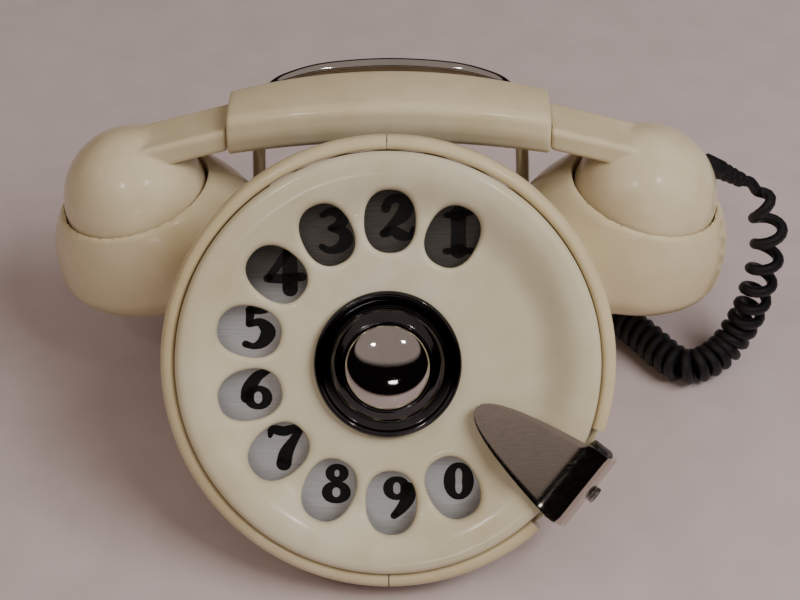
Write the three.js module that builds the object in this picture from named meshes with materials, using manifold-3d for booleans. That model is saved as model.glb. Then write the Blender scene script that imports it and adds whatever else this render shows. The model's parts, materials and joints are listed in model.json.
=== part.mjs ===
// A table telephone with a large tilted rotary dial. Millimetres, +Z up, the dial faces -Y.
// The working frame has the dial's axis crossing y = 0; the whole is centred over its base at the end.
import * as THREE from "three";
import { mergeVertices } from "three/addons/utils/BufferGeometryUtils.js";
import Module from "manifold-3d";

const wasm = await Module();
wasm.setup();

const rad = THREE.MathUtils.degToRad;

// ---------- driving dimensions ----------
const gap = 0.3; // between pieces that meet
const wall = 3; // housing shell
const footHeight = 4;
const dialHeight = 66; // dial centre above the table
const dialTilt = 52; // degrees, from lying flat
const bezelRadius = 74.3;
const bezelWall = 4.9;
const bezelFront = 4; // along the dial's axis
const bezelBack = -8;
const wheelGap = 0.6; // finger wheel to trim ring
const holeCircle = 46.3; // radius that the finger holes lie on
const holeCount = 10;
const holePitch = 26; // degrees
const firstHoleAngle = 63; // degrees, hole of number 1
const holeRadial = 20.5; // finger hole, along the radius
const holeTangential = 16.5;
const shaftRadius = 3;
const runningGap = 0.3;
const flangeRadius = 24;
const stopAngle = -38; // degrees, finger stop's direction
const stopOffset = 6.6; // its centre line beside the dial's centre
const stopWidth = 27;
const stopReach = 5.7; // outside the trim ring
const stopThickness = 1.8;
const ringTopY = bezelRadius * Math.cos(rad(dialTilt));
const ringTopZ = dialHeight + bezelRadius * Math.sin(rad(dialTilt));
const domeSpread = 89; // from the middle to each dome of the handset
const domeBehind = 28.26; // dome centres behind the top of the trim ring, and below it
const domeBelow = 50.55;
const domeCentre = [domeSpread, ringTopY + domeBehind, ringTopZ - domeBelow];
const domeRadius = 25.3;
const cupGap = 0.9;
const cupRise = 3; // rim above the dome's centre
const cupDepth = 14; // flat floor below the dome's centre
const cupFloor = domeCentre[2] - cupDepth;
const rimTiltOut = 14.5;
const rimTiltBack = 4;
const bodyCentre = [0, domeCentre[1] - 22, 30];
const bodyHalf = [70, 60, domeCentre[2] - 36];
const earCentre = [domeCentre[0] - 8.4, domeCentre[1] - 1.5, domeCentre[2] - 22];
const earHalf = [39, 32];
const earTaper = [37, 50]; // height at which each half width would close to nothing
const earDown = 18.5;
const partingHeight = 44.5;
const handsetTilt = -8;
const gripHalf = 54.7; // half length of the grip sleeve
const handleRod = 2.5; // radius
const cordRadius = 6.8; // outside of the curly cord

// ---------- solids ----------
function toSolid(geometry) {
  const bare = geometry.clone();
  bare.deleteAttribute("normal");
  bare.deleteAttribute("uv");
  const merged = mergeVertices(bare, 1e-4);
  const corners = merged.index.array;
  const kept = [];
  for (let i = 0; i < corners.length; i += 3) {
    const [a, b, c] = [corners[i], corners[i + 1], corners[i + 2]];
    if (a !== b && b !== c && c !== a) kept.push(a, b, c);
  }
  const build = (order) =>
    new wasm.Manifold(
      new wasm.Mesh({
        numProp: 3,
        vertProperties: new Float32Array(merged.attributes.position.array),
        triVerts: new Uint32Array(order),
      }),
    );
  const solid = build(kept);
  return solid.volume() < 0 ? build(kept.reverse()) : solid;
}

function toGeometry(solid) {
  const mesh = solid.getMesh();
  const positions = new Float32Array(mesh.numVert * 3);
  for (let i = 0; i < mesh.numVert; i++) {
    positions.set(mesh.vertProperties.subarray(i * mesh.numProp, i * mesh.numProp + 3), i * 3);
  }
  const geometry = new THREE.BufferGeometry();
  geometry.setAttribute("position", new THREE.BufferAttribute(positions, 3));
  geometry.setIndex(new THREE.BufferAttribute(new Uint32Array(mesh.triVerts), 1));
  return geometry;
}

function join(...shapes) {
  return toGeometry(shapes.map(toSolid).reduce((all, one) => all.add(one)));
}

function cut(shape, ...tools) {
  return toGeometry(tools.map(toSolid).reduce((left, tool) => left.subtract(tool), toSolid(shape)));
}

function common(first, second) {
  return toGeometry(toSolid(first).intersect(toSolid(second)));
}

// Drops the crumbs that a cut leaves beside the main body.
function mainBody(shape) {
  const bodies = toSolid(shape).decompose();
  return toGeometry(bodies.reduce((best, one) => (one.volume() > best.volume() ? one : best)));
}

// ---------- shapes ----------
function box(low, high) {
  const size = high.map((value, i) => value - low[i]);
  const middle = high.map((value, i) => (value + low[i]) / 2);
  return new THREE.BoxGeometry(...size).translate(...middle);
}

// A cylinder along Z from the height z0 to z1.
function post(radius, x, y, z0, z1, sides = 12) {
  const cylinder = new THREE.CylinderGeometry(radius, radius, z1 - z0, sides).rotateX(Math.PI / 2);
  return cylinder.translate(x, y, (z0 + z1) / 2);
}

// A cylinder along Y from y0 to y1.
function bar(radius, x, z, y0, y1, sides = 16) {
  const cylinder = new THREE.CylinderGeometry(radius, radius, y1 - y0, sides);
  return cylinder.translate(x, (y0 + y1) / 2, z);
}

// A body turned about Z. The profile holds [radius, height] pairs.
function turned(profile, segments = 28) {
  const points = profile.map(([radius, height]) => new THREE.Vector2(radius, height));
  return new THREE.LatheGeometry(points, segments).rotateX(Math.PI / 2);
}

// A turned body with a bore: the profile is closed on itself.
function turnedRing(profile, segments = 28) {
  return turned([...profile, profile[0]], segments);
}

function plate(points, z0, z1) {
  const outline = new THREE.Shape(points.map(([x, y]) => new THREE.Vector2(x, y)));
  return new THREE.ExtrudeGeometry(outline, { depth: z1 - z0, bevelEnabled: false }).translate(0, 0, z0);
}

function sector(from, to, radius, z0, z1) {
  const steps = 24;
  const points = [[0, 0]];
  for (let i = 0; i <= steps; i++) {
    const angle = rad(from + ((to - from) * i) / steps);
    points.push([radius * Math.cos(angle), radius * Math.sin(angle)]);
  }
  return plate(points, z0, z1);
}

function sweep(points, radius, sides, steps) {
  const curve = new THREE.CatmullRomCurve3(points.map((p) => new THREE.Vector3(...p)));
  const circle = new THREE.Shape();
  for (let i = 0; i < sides; i++) {
    const angle = (2 * Math.PI * i) / sides;
    const [x, y] = [radius * Math.cos(angle), radius * Math.sin(angle)];
    if (i === 0) circle.moveTo(x, y);
    else circle.lineTo(x, y);
  }
  return new THREE.ExtrudeGeometry(circle, { steps, extrudePath: curve, bevelEnabled: false });
}

// Joins equal rings of points into one closed skin with flat ends.
function loft(rings) {
  const count = rings[0].length;
  const positions = rings.flat(2);
  const faces = [];
  for (let r = 0; r + 1 < rings.length; r++) {
    for (let i = 0; i < count; i++) {
      const [a, b] = [r * count + i, r * count + ((i + 1) % count)];
      faces.push(a, b, b + count, a, b + count, a + count);
    }
  }
  const last = (rings.length - 1) * count;
  for (let i = 1; i + 1 < count; i++) {
    faces.push(0, i + 1, i);
    faces.push(last, last + i, last + i + 1);
  }
  const geometry = new THREE.BufferGeometry();
  geometry.setAttribute("position", new THREE.Float32BufferAttribute(positions, 3));
  geometry.setIndex(faces);
  return geometry;
}

// A rounded rectangle across X at the place x, its centre at height z.
function barSection(x, z, depth, height, corner) {
  const turns = 2;
  const ring = [];
  for (let side = 0; side < 4; side++) {
    const cy = (side === 0 || side === 3 ? 1 : -1) * (depth / 2 - corner);
    const cz = (side < 2 ? 1 : -1) * (height / 2 - corner);
    for (let i = 0; i <= turns; i++) {
      const angle = (Math.PI / 2) * (side + i / turns);
      ring.push([x, cy + corner * Math.cos(angle), z + cz + corner * Math.sin(angle)]);
    }
  }
  return ring;
}

// A squared-off ellipsoid: power 2 is a true one. Its lower half may have a height of its own.
function roundBody(half, power, across, down, lowerHalf = half[2]) {
  const sphere = new THREE.SphereGeometry(1, across, down).rotateX(Math.PI / 2);
  const points = sphere.attributes.position;
  for (let i = 0; i < points.count; i++) {
    const p = [points.getX(i), points.getY(i), points.getZ(i)];
    const size = p.reduce((sum, value) => sum + Math.abs(value) ** power, 0) ** (1 / power);
    const reach = [half[0], half[1], p[2] < 0 ? lowerHalf : half[2]];
    points.setXYZ(i, ...p.map((value, k) => (value / size) * reach[k]));
  }
  return sphere;
}

// ---------- placing ----------
const phone = new THREE.Group();
const dial = new THREE.Group(); // its Z is the dial's axis, towards the user
dial.position.set(0, 0, dialHeight);
dial.rotation.x = rad(dialTilt);
dial.updateMatrix();
const handset = new THREE.Group();
handset.position.set(0, domeCentre[1], domeCentre[2]);
handset.rotation.x = rad(handsetTilt);
phone.add(dial, handset);

const ivory = { color: 0xe6dcc3, roughness: 0.32, metalness: 0 };
const chrome = { color: 0xc9c9cc, roughness: 0.12, metalness: 1 };
const steel = { color: 0xa8a9ad, roughness: 0.4, metalness: 1 };
const brass = { color: 0xb8975a, roughness: 0.35, metalness: 1 };
const aluminium = { color: 0xb4b5b6, roughness: 0.45, metalness: 1 };
const blackPlastic = { color: 0x1a1a1b, roughness: 0.45, metalness: 0 };
const rubber = { color: 0x141415, roughness: 0.7, metalness: 0 };
const copper = { color: 0x8c5a3c, roughness: 0.5, metalness: 0.4 };
const board = { color: 0x8a6a3a, roughness: 0.6, metalness: 0 };

function add(parent, name, geometry, look) {
  const flat = geometry.index ? geometry.toNonIndexed() : geometry;
  flat.computeVertexNormals();
  const mesh = new THREE.Mesh(flat, new THREE.MeshStandardMaterial(look));
  mesh.name = name;
  parent.add(mesh);
}

const mirrorX = (point, side) => [point[0] * side, point[1], point[2]];

// ---------- housing ----------
const drumRadius = bezelRadius - 0.8;
const drumFront = bezelBack - gap;
const plateFront = -7.3; // dial plate
const plateBack = -11.5;
const plateRadius = drumRadius - wall - 1.2;

function drum(inset) {
  const r = drumRadius - inset;
  const profile = [
    [0, -58 + inset],
    [44 - inset, -54 + inset],
    [60 - inset, -44 + inset],
    [r - 5, -30 + inset / 3],
    [r - 1, -16],
    [r, drumFront],
  ];
  if (inset) profile.push([r, drumFront + 5]); // the hollow is open at the front
  profile.push([0, profile.at(-1)[1]]);
  return turned(profile).applyMatrix4(dial.matrix);
}

function rearBody(inset) {
  const half = bodyHalf.map((value) => value - inset);
  return roundBody(half, 3, inset ? 20 : 24, inset ? 10 : 12).translate(...bodyCentre);
}

// A bowl of oval rings that leans outwards and ends at the flat rim of its cup.
function ear(side, inset) {
  const lean = new THREE.Matrix4().makeRotationY(rad(rimTiltOut * side));
  lean.multiply(new THREE.Matrix4().makeRotationX(rad(-rimTiltBack)));
  const middle = new THREE.Vector3(...mirrorX(earCentre, side));
  const rim = new THREE.Vector3(side * domeCentre[0], domeCentre[1], domeCentre[2] + cupRise);
  rim.sub(middle).applyMatrix4(lean.clone().invert());
  const [across, steps] = [inset ? 16 : 24, inset ? 4 : 6];
  const rings = [];
  const addRing = (height, halfX, halfY, shift) => {
    const ring = [];
    for (let i = 0; i < across; i++) {
      const turn = (2 * Math.PI * i) / across;
      ring.push([rim.x * shift + halfX * Math.cos(turn), rim.y * shift + halfY * Math.sin(turn), height]);
    }
    rings.push(ring);
  };
  const [halfX, halfY] = earHalf.map((half) => half - inset);
  for (let i = 1; i <= steps; i++) {
    const angle = (Math.PI / 2) * (1 - i / steps) * 0.96;
    addRing(-(earDown - inset) * Math.sin(angle), halfX * Math.cos(angle), halfY * Math.cos(angle), 0);
  }
  for (let i = 1; i <= steps; i++) {
    const height = ((rim.z - inset) * i) / steps;
    const [narrowX, narrowY] = earTaper.map((close) => Math.sqrt(1 - (height / close) ** 2));
    addRing(height, halfX * narrowX, halfY * narrowY, (height / rim.z) ** 2);
  }
  return loft(rings).applyMatrix4(lean).translate(middle.x, middle.y, middle.z);
}

// The hollow that a handset dome and its cap sit in, open upwards.
function cup(side, grow) {
  const radius = domeRadius + cupGap + grow;
  const depth = cupDepth + grow;
  const [floorAngle, steps] = [Math.asin(depth / radius), 4];
  const profile = [[0, -depth]];
  for (let i = 0; i <= steps; i++) {
    const angle = floorAngle * (1 - i / steps);
    profile.push([radius * Math.cos(angle), -radius * Math.sin(angle)]);
  }
  profile.push([radius, 40], [0, 40]);
  return turned(profile, grow ? 16 : 20).translate(...mirrorX(domeCentre, side));
}

const sides = [-1, 1];
const footPlaces = [[-28, -6], [28, -6], [-42, 86], [42, 86]];
const screwPlaces = [[-50, 26], [50, 26], [-50, 70], [50, 70]];
const screwPostRadius = 4;
const screwRadius = 1.7;
const postTop = cupFloor;
const handleFoot = [47.7, bodyCentre[1] + 43];
const handleTop = domeCentre[2] + 37.2;
const plungerRadius = 2.5;
const glandX = 30;
const glandHeight = 16;
const glandRadius = 5;
const glandFace = bodyCentre[1] + 62.5;

function housing() {
  const table = box([-200, -200, -100], [200, 200, footHeight]);
  const outer = cut(join(drum(0), rearBody(0), ear(-1, 0), ear(1, 0)), table);
  const floorTop = box([-200, -200, -100], [200, 200, footHeight + wall]);
  let inner = cut(join(drum(wall), rearBody(wall), ear(-1, wall), ear(1, wall)), floorTop);
  const platePocket = turned([
    [0, plateBack - 1],
    [plateRadius + 0.4, plateBack - 1],
    [plateRadius + 0.4, drumFront + 3],
    [0, drumFront + 3],
  ]).applyMatrix4(dial.matrix);
  inner = join(inner, platePocket);
  const cupWall = 2.5;
  for (const side of sides) inner = cut(inner, cup(side, cupWall));
  for (const [x, y] of screwPlaces) {
    const side = Math.sign(x);
    const [ribFrom, ribTo] = side > 0 ? [x, x + 25] : [x - 25, x];
    const rib = box([ribFrom, y - 1.5, partingHeight], [ribTo, y + 1.5, postTop]);
    inner = cut(inner, post(screwPostRadius, x, y, 0, postTop));
    if (y < bodyCentre[1]) inner = cut(inner, rib); // the front posts stand clear of the ceiling
  }
  let shell = cut(outer, mainBody(inner), cup(-1, 0), cup(1, 0));
  for (const [x, y] of screwPlaces) {
    shell = cut(shell, post(screwRadius + gap, x, y, 0, 22), post(screwRadius + 2.2, x, y, 0, footHeight + 1.8));
  }
  for (const side of sides) {
    const handleHole = post(handleRod + gap, side * handleFoot[0], handleFoot[1], handleTop - 65.2, handleTop - 36.2, 16);
    const cordHole = bar(glandRadius + gap, side * glandX, glandHeight, glandFace - 19.5, glandFace + 10.5);
    shell = cut(shell, handleHole, cordHole);
  }
  return cut(shell, post(plungerRadius + gap, domeCentre[0], domeCentre[1], cupFloor - 8, cupFloor + 4, 16));
}

const shell = housing();
const aboveParting = box([-200, -200, partingHeight + gap / 2], [200, 200, 200]);
const belowParting = box([-200, -200, -20], [200, 200, partingHeight - gap / 2]);
const lowerPosts = screwPlaces.map(([x, y]) => post(screwPostRadius + gap, x, y, footHeight + wall + gap, 60));
const postCores = screwPlaces.map(([x, y]) =>
  cut(
    post(screwPostRadius - 0.2, x, y, footHeight + wall + 2 * gap, partingHeight + 1),
    post(screwRadius + gap, x, y, 0, 22),
  ),
);
add(phone, "lower_housing", mainBody(cut(common(shell, belowParting), ...lowerPosts)), ivory);
add(phone, "upper_housing", mainBody(join(common(shell, aboveParting), ...postCores)), ivory);

footPlaces.forEach(([x, y], i) => {
  const name = ["foot_front_left", "foot_front_right", "foot_rear_left", "foot_rear_right"][i];
  const foot = turned([[0, 0], [6.2, 0], [7, 0.8], [7, footHeight - gap], [0, footHeight - gap]], 24);
  add(phone, name, foot.translate(x, y, 0), rubber);
});

screwPlaces.forEach(([x, y], i) => {
  const name = ["screw_front_left", "screw_front_right", "screw_rear_left", "screw_rear_right"][i];
  const head = footHeight + 0.2;
  const screw = turned(
    [[0, head], [3.4, head], [3.4, head + 1.3], [screwRadius, head + 1.3], [screwRadius, 20], [0, 21]],
    16,
  );
  const slot = box([-4, -0.5, head - 1], [4, 0.5, head + 0.7]);
  add(phone, name, cut(screw, slot).translate(x, y, 0), steel);
});

// ---------- carrying handle ----------
const archY = handleFoot[1] + 5; // the arch stands this far back
const handleSide = [
  [handleFoot[0], handleFoot[1], handleTop - 64],
  [handleFoot[0], handleFoot[1], handleTop - 49.2],
  [handleFoot[0] - 0.9, archY - 3, handleTop - 31.2],
  [handleFoot[0] - 3.2, archY - 0.6, handleTop - 17.2],
  [handleFoot[0] - 7.1, archY, handleTop - 9.6],
  [handleFoot[0] - 14.2, archY, handleTop - 5.2],
  [handleFoot[0] - 26.7, archY, handleTop - 1.6],
];
const handlePath = [
  ...handleSide.map((p) => mirrorX(p, -1)),
  [0, archY, handleTop],
  ...[...handleSide].reverse(),
];
add(phone, "carry_handle", sweep(handlePath, handleRod, 8, 36), chrome);

// ---------- trim ring ----------
const bezelInner = bezelRadius - bezelWall;
const bezelProfile = [
  [bezelInner, bezelBack],
  [bezelRadius, bezelBack],
  [bezelRadius, bezelFront - 4],
  [bezelRadius - 0.5, bezelFront - 1.8],
  [bezelRadius - 1.8, bezelFront - 0.3],
  [bezelInner + 1.4, bezelFront],
  [bezelInner, bezelFront - 1.2],
];
const ringEnds = [-17.6, -48]; // where the ring stops beside the finger stop
const seam = 0.15; // degrees, half of a seam
const bezel = turnedRing(bezelProfile, 60);
const bezelPieces = {
  bezel_left: [90 + seam, 270 - seam],
  bezel_upper_right: [ringEnds[0], 90 - seam],
  bezel_lower_right: [-90 + seam, ringEnds[1]],
};
for (const [name, [from, to]] of Object.entries(bezelPieces)) {
  add(dial, name, common(bezel, sector(from, to, 90, -20, 20)), ivory);
}

// ---------- dial plate and numbers ----------
const plateSeat = -9.5; // thin rim of the dial plate
const bushRadius = 5.7;
add(
  dial,
  "dial_plate",
  turnedRing([
    [bushRadius + gap, plateBack],
    [plateRadius, plateBack],
    [plateRadius, plateSeat],
    [64, plateSeat],
    [64, plateFront],
    [bushRadius + gap, plateFront],
  ]),
  blackPlastic,
);
add(
  dial,
  "number_plate",
  turnedRing([[27, plateFront + gap], [63, plateFront + gap], [63, plateFront + 1.1], [27, plateFront + 1.1]]),
  aluminium,
);
add(
  dial,
  "dial_bush",
  turnedRing(
    [
      [shaftRadius + 0.1, -14.5],
      [bushRadius, -14.5],
      [bushRadius, -4.5],
      [shaftRadius + 0.1, -4.5],
    ],
    24,
  ),
  brass,
);

// ---------- finger wheel ----------
const wheelRadius = bezelInner - wheelGap;
const wheelBack = -2;
const rimHeight = 7.5;
const webTop = 1.2;
const webThickness = 3;
const rimWidth = 6;

function fingerWheel() {
  const rim = wheelRadius - rimWidth; // inner foot of the raised rim
  let wheel = turnedRing(
    [
      [shaftRadius + runningGap, webTop - webThickness],
      [rim - 9, webTop - webThickness + 0.8],
      [rim - 1, rimHeight - 5.5],
      [rim + 1.6, rimHeight - 3],
      [wheelRadius - 2.2, rimHeight - 3.6],
      [wheelRadius - 2.2, wheelBack],
      [wheelRadius, wheelBack],
      [wheelRadius, rimHeight - 2.7],
      [wheelRadius - 1.1, rimHeight - 0.8],
      [wheelRadius - 3.5, rimHeight],
      [rim, rimHeight - 0.8],
      [rim - 4, rimHeight - 4.1],
      [rim - 7, webTop + 1.4],
      [33, webTop + 0.2],
      [shaftRadius + runningGap, webTop],
    ],
    40,
  );
  const across = 12;
  for (let k = 0; k < holeCount; k++) {
    const angle = rad(firstHoleAngle + holePitch * k);
    const outline = [];
    for (let i = 0; i < across; i++) {
      const turn = (2 * Math.PI * i) / across;
      outline.push([(holeRadial / 2) * Math.cos(turn), (holeTangential / 2) * Math.sin(turn)]);
    }
    const hole = plate(outline, -6, 8).translate(holeCircle, 0, 0).rotateZ(angle);
    wheel = cut(wheel, hole);
  }
  return wheel;
}
add(dial, "finger_wheel", fingerWheel(), ivory);

const flangeBack = webTop + gap;
const flangeFront = flangeBack + 2;
add(
  dial,
  "dial_flange",
  turnedRing([
    [shaftRadius + runningGap, flangeBack],
    [flangeRadius - 0.6, flangeBack],
    [flangeRadius, flangeBack + 0.8],
    [flangeRadius, flangeFront + 0.6],
    [flangeRadius - 1.2, flangeFront + 1.2],
    [flangeRadius - 2.4, flangeFront + 0.4],
    [flangeRadius - 4, flangeFront],
    [shaftRadius + runningGap, flangeFront],
  ]),
  chrome,
);
const domeBase = flangeFront + gap;
add(
  dial,
  "dial_dome",
  turned([
    [0, domeBase],
    [18.8, domeBase],
    [18.8, domeBase + 2.4],
    [17.4, domeBase + 4.4],
    [14.6, domeBase + 5.8],
    [13.9, domeBase + 5.6],
    [12.6, domeBase + 7.4],
    [9.6, domeBase + 9],
    [5.2, domeBase + 10.2],
    [0, domeBase + 10.6],
  ]),
  chrome,
);

// ---------- dial works behind the plate ----------
const gearFace = [-20, -18];
const gearTeeth = 40;
const pinionTeeth = 8;
const gearModule = 1.05;
const gearPitch = (gearTeeth * gearModule) / 2;
const pinionPitch = (pinionTeeth * gearModule) / 2;
const arborAngle = 120; // degrees, where the transfer gear stands
const arborDistance = gearPitch + pinionPitch;
const bridgeFace = [-30, -28];
const wormWheelRadius = 14;
const wormRadius = 1.8;

// A gear outline with slim teeth. A tooth points along +X when phase is 0.
function gearOutline(teeth, pitch, phase) {
  const [root, tip] = [pitch - 0.7, pitch + 0.45];
  const [rootHalf, tipHalf] = [0.65 / pitch, 0.3 / pitch];
  const points = [];
  for (let i = 0; i < teeth; i++) {
    const middle = (2 * Math.PI * (i + phase)) / teeth;
    for (const [radius, turn] of [[root, -rootHalf], [tip, -tipHalf], [tip, tipHalf], [root, rootHalf]]) {
      points.push([radius * Math.cos(middle + turn), radius * Math.sin(middle + turn)]);
    }
  }
  return points;
}

add(dial, "dial_shaft", post(shaftRadius, 0, 0, bridgeFace[0] - 1.5, flangeFront - 0.2, 24), steel);
const mainGear = plate(gearOutline(gearTeeth, gearPitch, 0), ...gearFace).rotateZ(rad(arborAngle));
add(dial, "main_gear", cut(mainGear, post(shaftRadius + gap, 0, 0, -40, 0, 24)), brass);
const camOutline = [];
for (let i = 0; i < 36; i++) {
  const radius = i % 4 < 2 ? 12.5 : 10.8;
  camOutline.push([radius * Math.cos(rad(i * 10)), radius * Math.sin(rad(i * 10))]);
}
add(dial, "pulse_cam", cut(plate(camOutline, -22.4, -21), post(shaftRadius + gap, 0, 0, -40, 0, 24)), steel);

const arbor = [arborDistance * Math.cos(rad(arborAngle)), arborDistance * Math.sin(rad(arborAngle))];
const pinion = plate(gearOutline(pinionTeeth, pinionPitch, 0.5), gearFace[0] - 0.5, gearFace[1] + 0.5);
pinion.rotateZ(rad(arborAngle + 180));
const wormWheel = turned([[0, -25.4], [wormWheelRadius, -25.4], [wormWheelRadius, -23.4], [3, -23.4], [3, -20], [0, -20]]);
const arborPin = post(1.5, 0, 0, bridgeFace[0] - 1, plateBack - gap - 0.4, 16);
add(dial, "transfer_gear", join(pinion, wormWheel, arborPin).translate(arbor[0], arbor[1], 0), brass);

function dialBridge() {
  const [back, front] = bridgeFace;
  let bridge = plate([[-19, -22], [25, -14], [25, -7], [4, 37.5], [-14, 37.5], [-21, -8]], back, front);
  const posts = [[22, -10], [-17, -19], [-1, 34.5]];
  for (const [x, y] of posts) bridge = join(bridge, post(2, x, y, back, plateBack - gap, 12));
  const holes = [post(shaftRadius + gap, 0, 0, -40, 0, 24), post(1.5 + gap, arbor[0], arbor[1], -40, 0, 16)];
  return cut(bridge, ...holes);
}
add(dial, "dial_bridge", dialBridge(), steel);

// Flat spiral that turns the dial back.
function spiralSpring() {
  const [start, end, turns, steps] = [7, 17, 3, 45];
  const [inner, outer] = [[], []];
  for (let i = 0; i <= steps; i++) {
    const angle = (2 * Math.PI * turns * i) / steps;
    const radius = start + ((end - start) * i) / steps;
    inner.push([(radius - 0.4) * Math.cos(angle), (radius - 0.4) * Math.sin(angle)]);
    outer.push([(radius + 0.4) * Math.cos(angle), (radius + 0.4) * Math.sin(angle)]);
  }
  return plate([...inner, ...outer.reverse()], -17, -15);
}
add(dial, "return_spring", spiralSpring(), steel);

// Governor: a cross shaft with two weights that spin inside a cup.
const governor = new THREE.Group();
governor.position.set(arbor[0] - wormWheelRadius - wormRadius - 0.6, arbor[1], -24.4);
governor.rotation.x = rad(90); // its Z runs along the dial's -Y
dial.add(governor);
const governorShaft = join(
  post(1, 0, 0, -8, 34, 12),
  post(wormRadius, 0, 0, -3, 3),
  post(3, 0, 0, 19, 20.4, 16),
);
add(governor, "governor_shaft", governorShaft, steel);
add(governor, "governor_weight_left", box([-5.4, -1.6, 22], [-1.6, 1.6, 27]), brass);
add(governor, "governor_weight_right", box([1.6, -1.6, 22], [5.4, 1.6, 27]), brass);
const cupProfile = [[1.4, 29.8], [6.4, 29.8], [6.4, 21], [7.2, 21], [7.2, 31], [1.4, 31]];
add(governor, "governor_cup", turnedRing(cupProfile, 24), steel);
function governorBracket() {
  const frame = join(
    box([-3, -5.2, -10], [3, -4, 18]),
    box([-3, -5.2, -10], [3, 3, -8.8]),
    box([-3, -5.2, 16.6], [3, 3, 18]),
  );
  return cut(frame, post(1 + gap, 0, 0, -20, 40, 12));
}
add(governor, "governor_bracket", governorBracket(), steel);

// Pulse contacts beside the cam.
add(dial, "contact_block", box([19, -28, -26], [31, -18, plateBack - gap]), blackPlastic);
const leaves = [-24.6, -22].map((height, i) => box([14.2 + 3 * i, -17.7, height], [28, -17.1, height + 2]));
add(dial, "contact_springs", join(...leaves, box([20, -17.7, -24.6], [28, -17.1, -20])), brass);

// ---------- finger stop ----------
const stopTip = 31; // from the dial's axis, along the stop
const stopFace = bezelRadius + stopReach;
const stopTipHeight = 4;
const stopRimHeight = rimHeight + 1.1;

function alongStop(geometry) {
  return geometry.translate(0, stopOffset, 0).rotateZ(rad(stopAngle));
}

function fingerStop() {
  const rim = wheelRadius - 3.5;
  const t = stopThickness;
  const profile = [
    [stopTip, stopTipHeight],
    [rim, stopRimHeight],
    [stopFace - t, stopRimHeight],
    [stopFace - t, bezelBack],
    [stopFace, bezelBack],
    [stopFace, stopRimHeight + t - 1],
    [stopFace - 1, stopRimHeight + t],
    [rim, stopRimHeight + t],
    [stopTip, stopTipHeight + t],
  ];
  const side = plate(profile, -stopWidth / 2, stopWidth / 2).rotateX(Math.PI / 2);
  const tip = 5;
  const outline = [];
  for (let i = 0; i <= 10; i++) {
    const angle = Math.PI / 2 + (Math.PI * i) / 10;
    outline.push([stopTip + tip + tip * Math.cos(angle), tip * Math.sin(angle)]);
  }
  const shoulder = stopFace - 12;
  outline.push([shoulder, -stopWidth / 2], [stopFace + 5, -stopWidth / 2]);
  outline.push([stopFace + 5, stopWidth / 2], [shoulder, stopWidth / 2]);
  const screwHole = post(1.9, 0, 0, -20, 20, 16).rotateY(Math.PI / 2).translate(stopFace, 0, -4);
  return cut(common(side, plate(outline, -20, 20)), screwHole);
}
add(dial, "finger_stop", alongStop(fingerStop()), chrome);

const bracketFrom = wheelRadius + 1.4;
const bracketTo = stopFace - stopThickness - gap;
function stopBracket() {
  const block = join(
    box([bracketFrom, -11.5, bezelBack + 0.1], [bracketTo, 11.5, 2]),
    box([bracketFrom + 2, -9.5, 1], [bracketTo, 9.5, stopRimHeight - gap]),
  );
  return cut(block, post(1.9, 0, 0, -20, 20, 16).rotateY(Math.PI / 2).translate(bracketTo, 0, -4));
}
add(dial, "finger_stop_bracket", alongStop(stopBracket()), blackPlastic);
const stopScrew = join(
  post(1.6, 0, 0, bracketFrom + 0.6, stopFace + 1, 16),
  post(2.8, 0, 0, stopFace + gap, stopFace + 1.5, 20),
);
add(dial, "finger_stop_screw", alongStop(stopScrew.rotateY(Math.PI / 2).translate(0, 0, -4)), steel);

// ---------- ringer ----------
const gongX = 22.5;
const gongY = 82;
const gongRadius = 16.5;
const floorTop = footHeight + wall + gap;
function ringerFrame() {
  let frame = box([-32, 40, floorTop], [32, 96, floorTop + 1.4]);
  for (const side of sides) frame = join(frame, post(2, side * gongX, gongY, floorTop, 36, 12));
  frame = join(frame, box([-19, 38.4, floorTop], [19, 40.2, 26]));
  return join(frame, post(1.4, 0, 58, floorTop, 28, 12));
}
add(phone, "ringer_frame", ringerFrame(), steel);
for (const side of sides) {
  const name = side < 0 ? "left" : "right";
  const gong = turnedRing(
    [
      [2 + gap, 31.4],
      [10, 30.4],
      [14, 27],
      [15.2, 21],
      [gongRadius, 21],
      [15.6, 28],
      [11, 32.4],
      [2 + gap, 33.4],
    ],
    32,
  );
  add(phone, name + "_gong", gong.translate(side * gongX, gongY, 0), brass);
  add(phone, name + "_coil", bar(7, side * 11, 18, 40.5, 56, 24), copper);
}
function clapper() {
  const arm = join(box([-0.5, 50, 22], [0.5, 80, 25]), post(2.6, 0, 58, 21.5, 26.5, 16), post(2.6, 0, 81, 21, 27, 16));
  return cut(arm, post(1.4 + gap, 0, 58, 0, 40, 12));
}
add(phone, "clapper", clapper(), steel);

// ---------- circuit ----------
add(phone, "circuit_board", box([-38, 2, floorTop + 1.7], [38, 37, floorTop + 3.3]), board);
const onBoard = floorTop + 3.3 + gap;
add(phone, "line_transformer", box([-32, 8, onBoard], [-12, 25, onBoard + 11]), steel);
const capacitor = new THREE.CylinderGeometry(5, 5, 24, 20).rotateZ(Math.PI / 2);
add(phone, "line_capacitor", capacitor.translate(18, 14, onBoard + 5), copper);
const strip = [0, 1, 2, 3, 4].map((i) => box([-23 + 10 * i, 29, onBoard], [-17 + 10 * i, 35.5, onBoard + 6]));
add(phone, "terminal_block", join(box([-26, 28, onBoard], [26, 36, onBoard + 3.5]), ...strip), blackPlastic);

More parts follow.
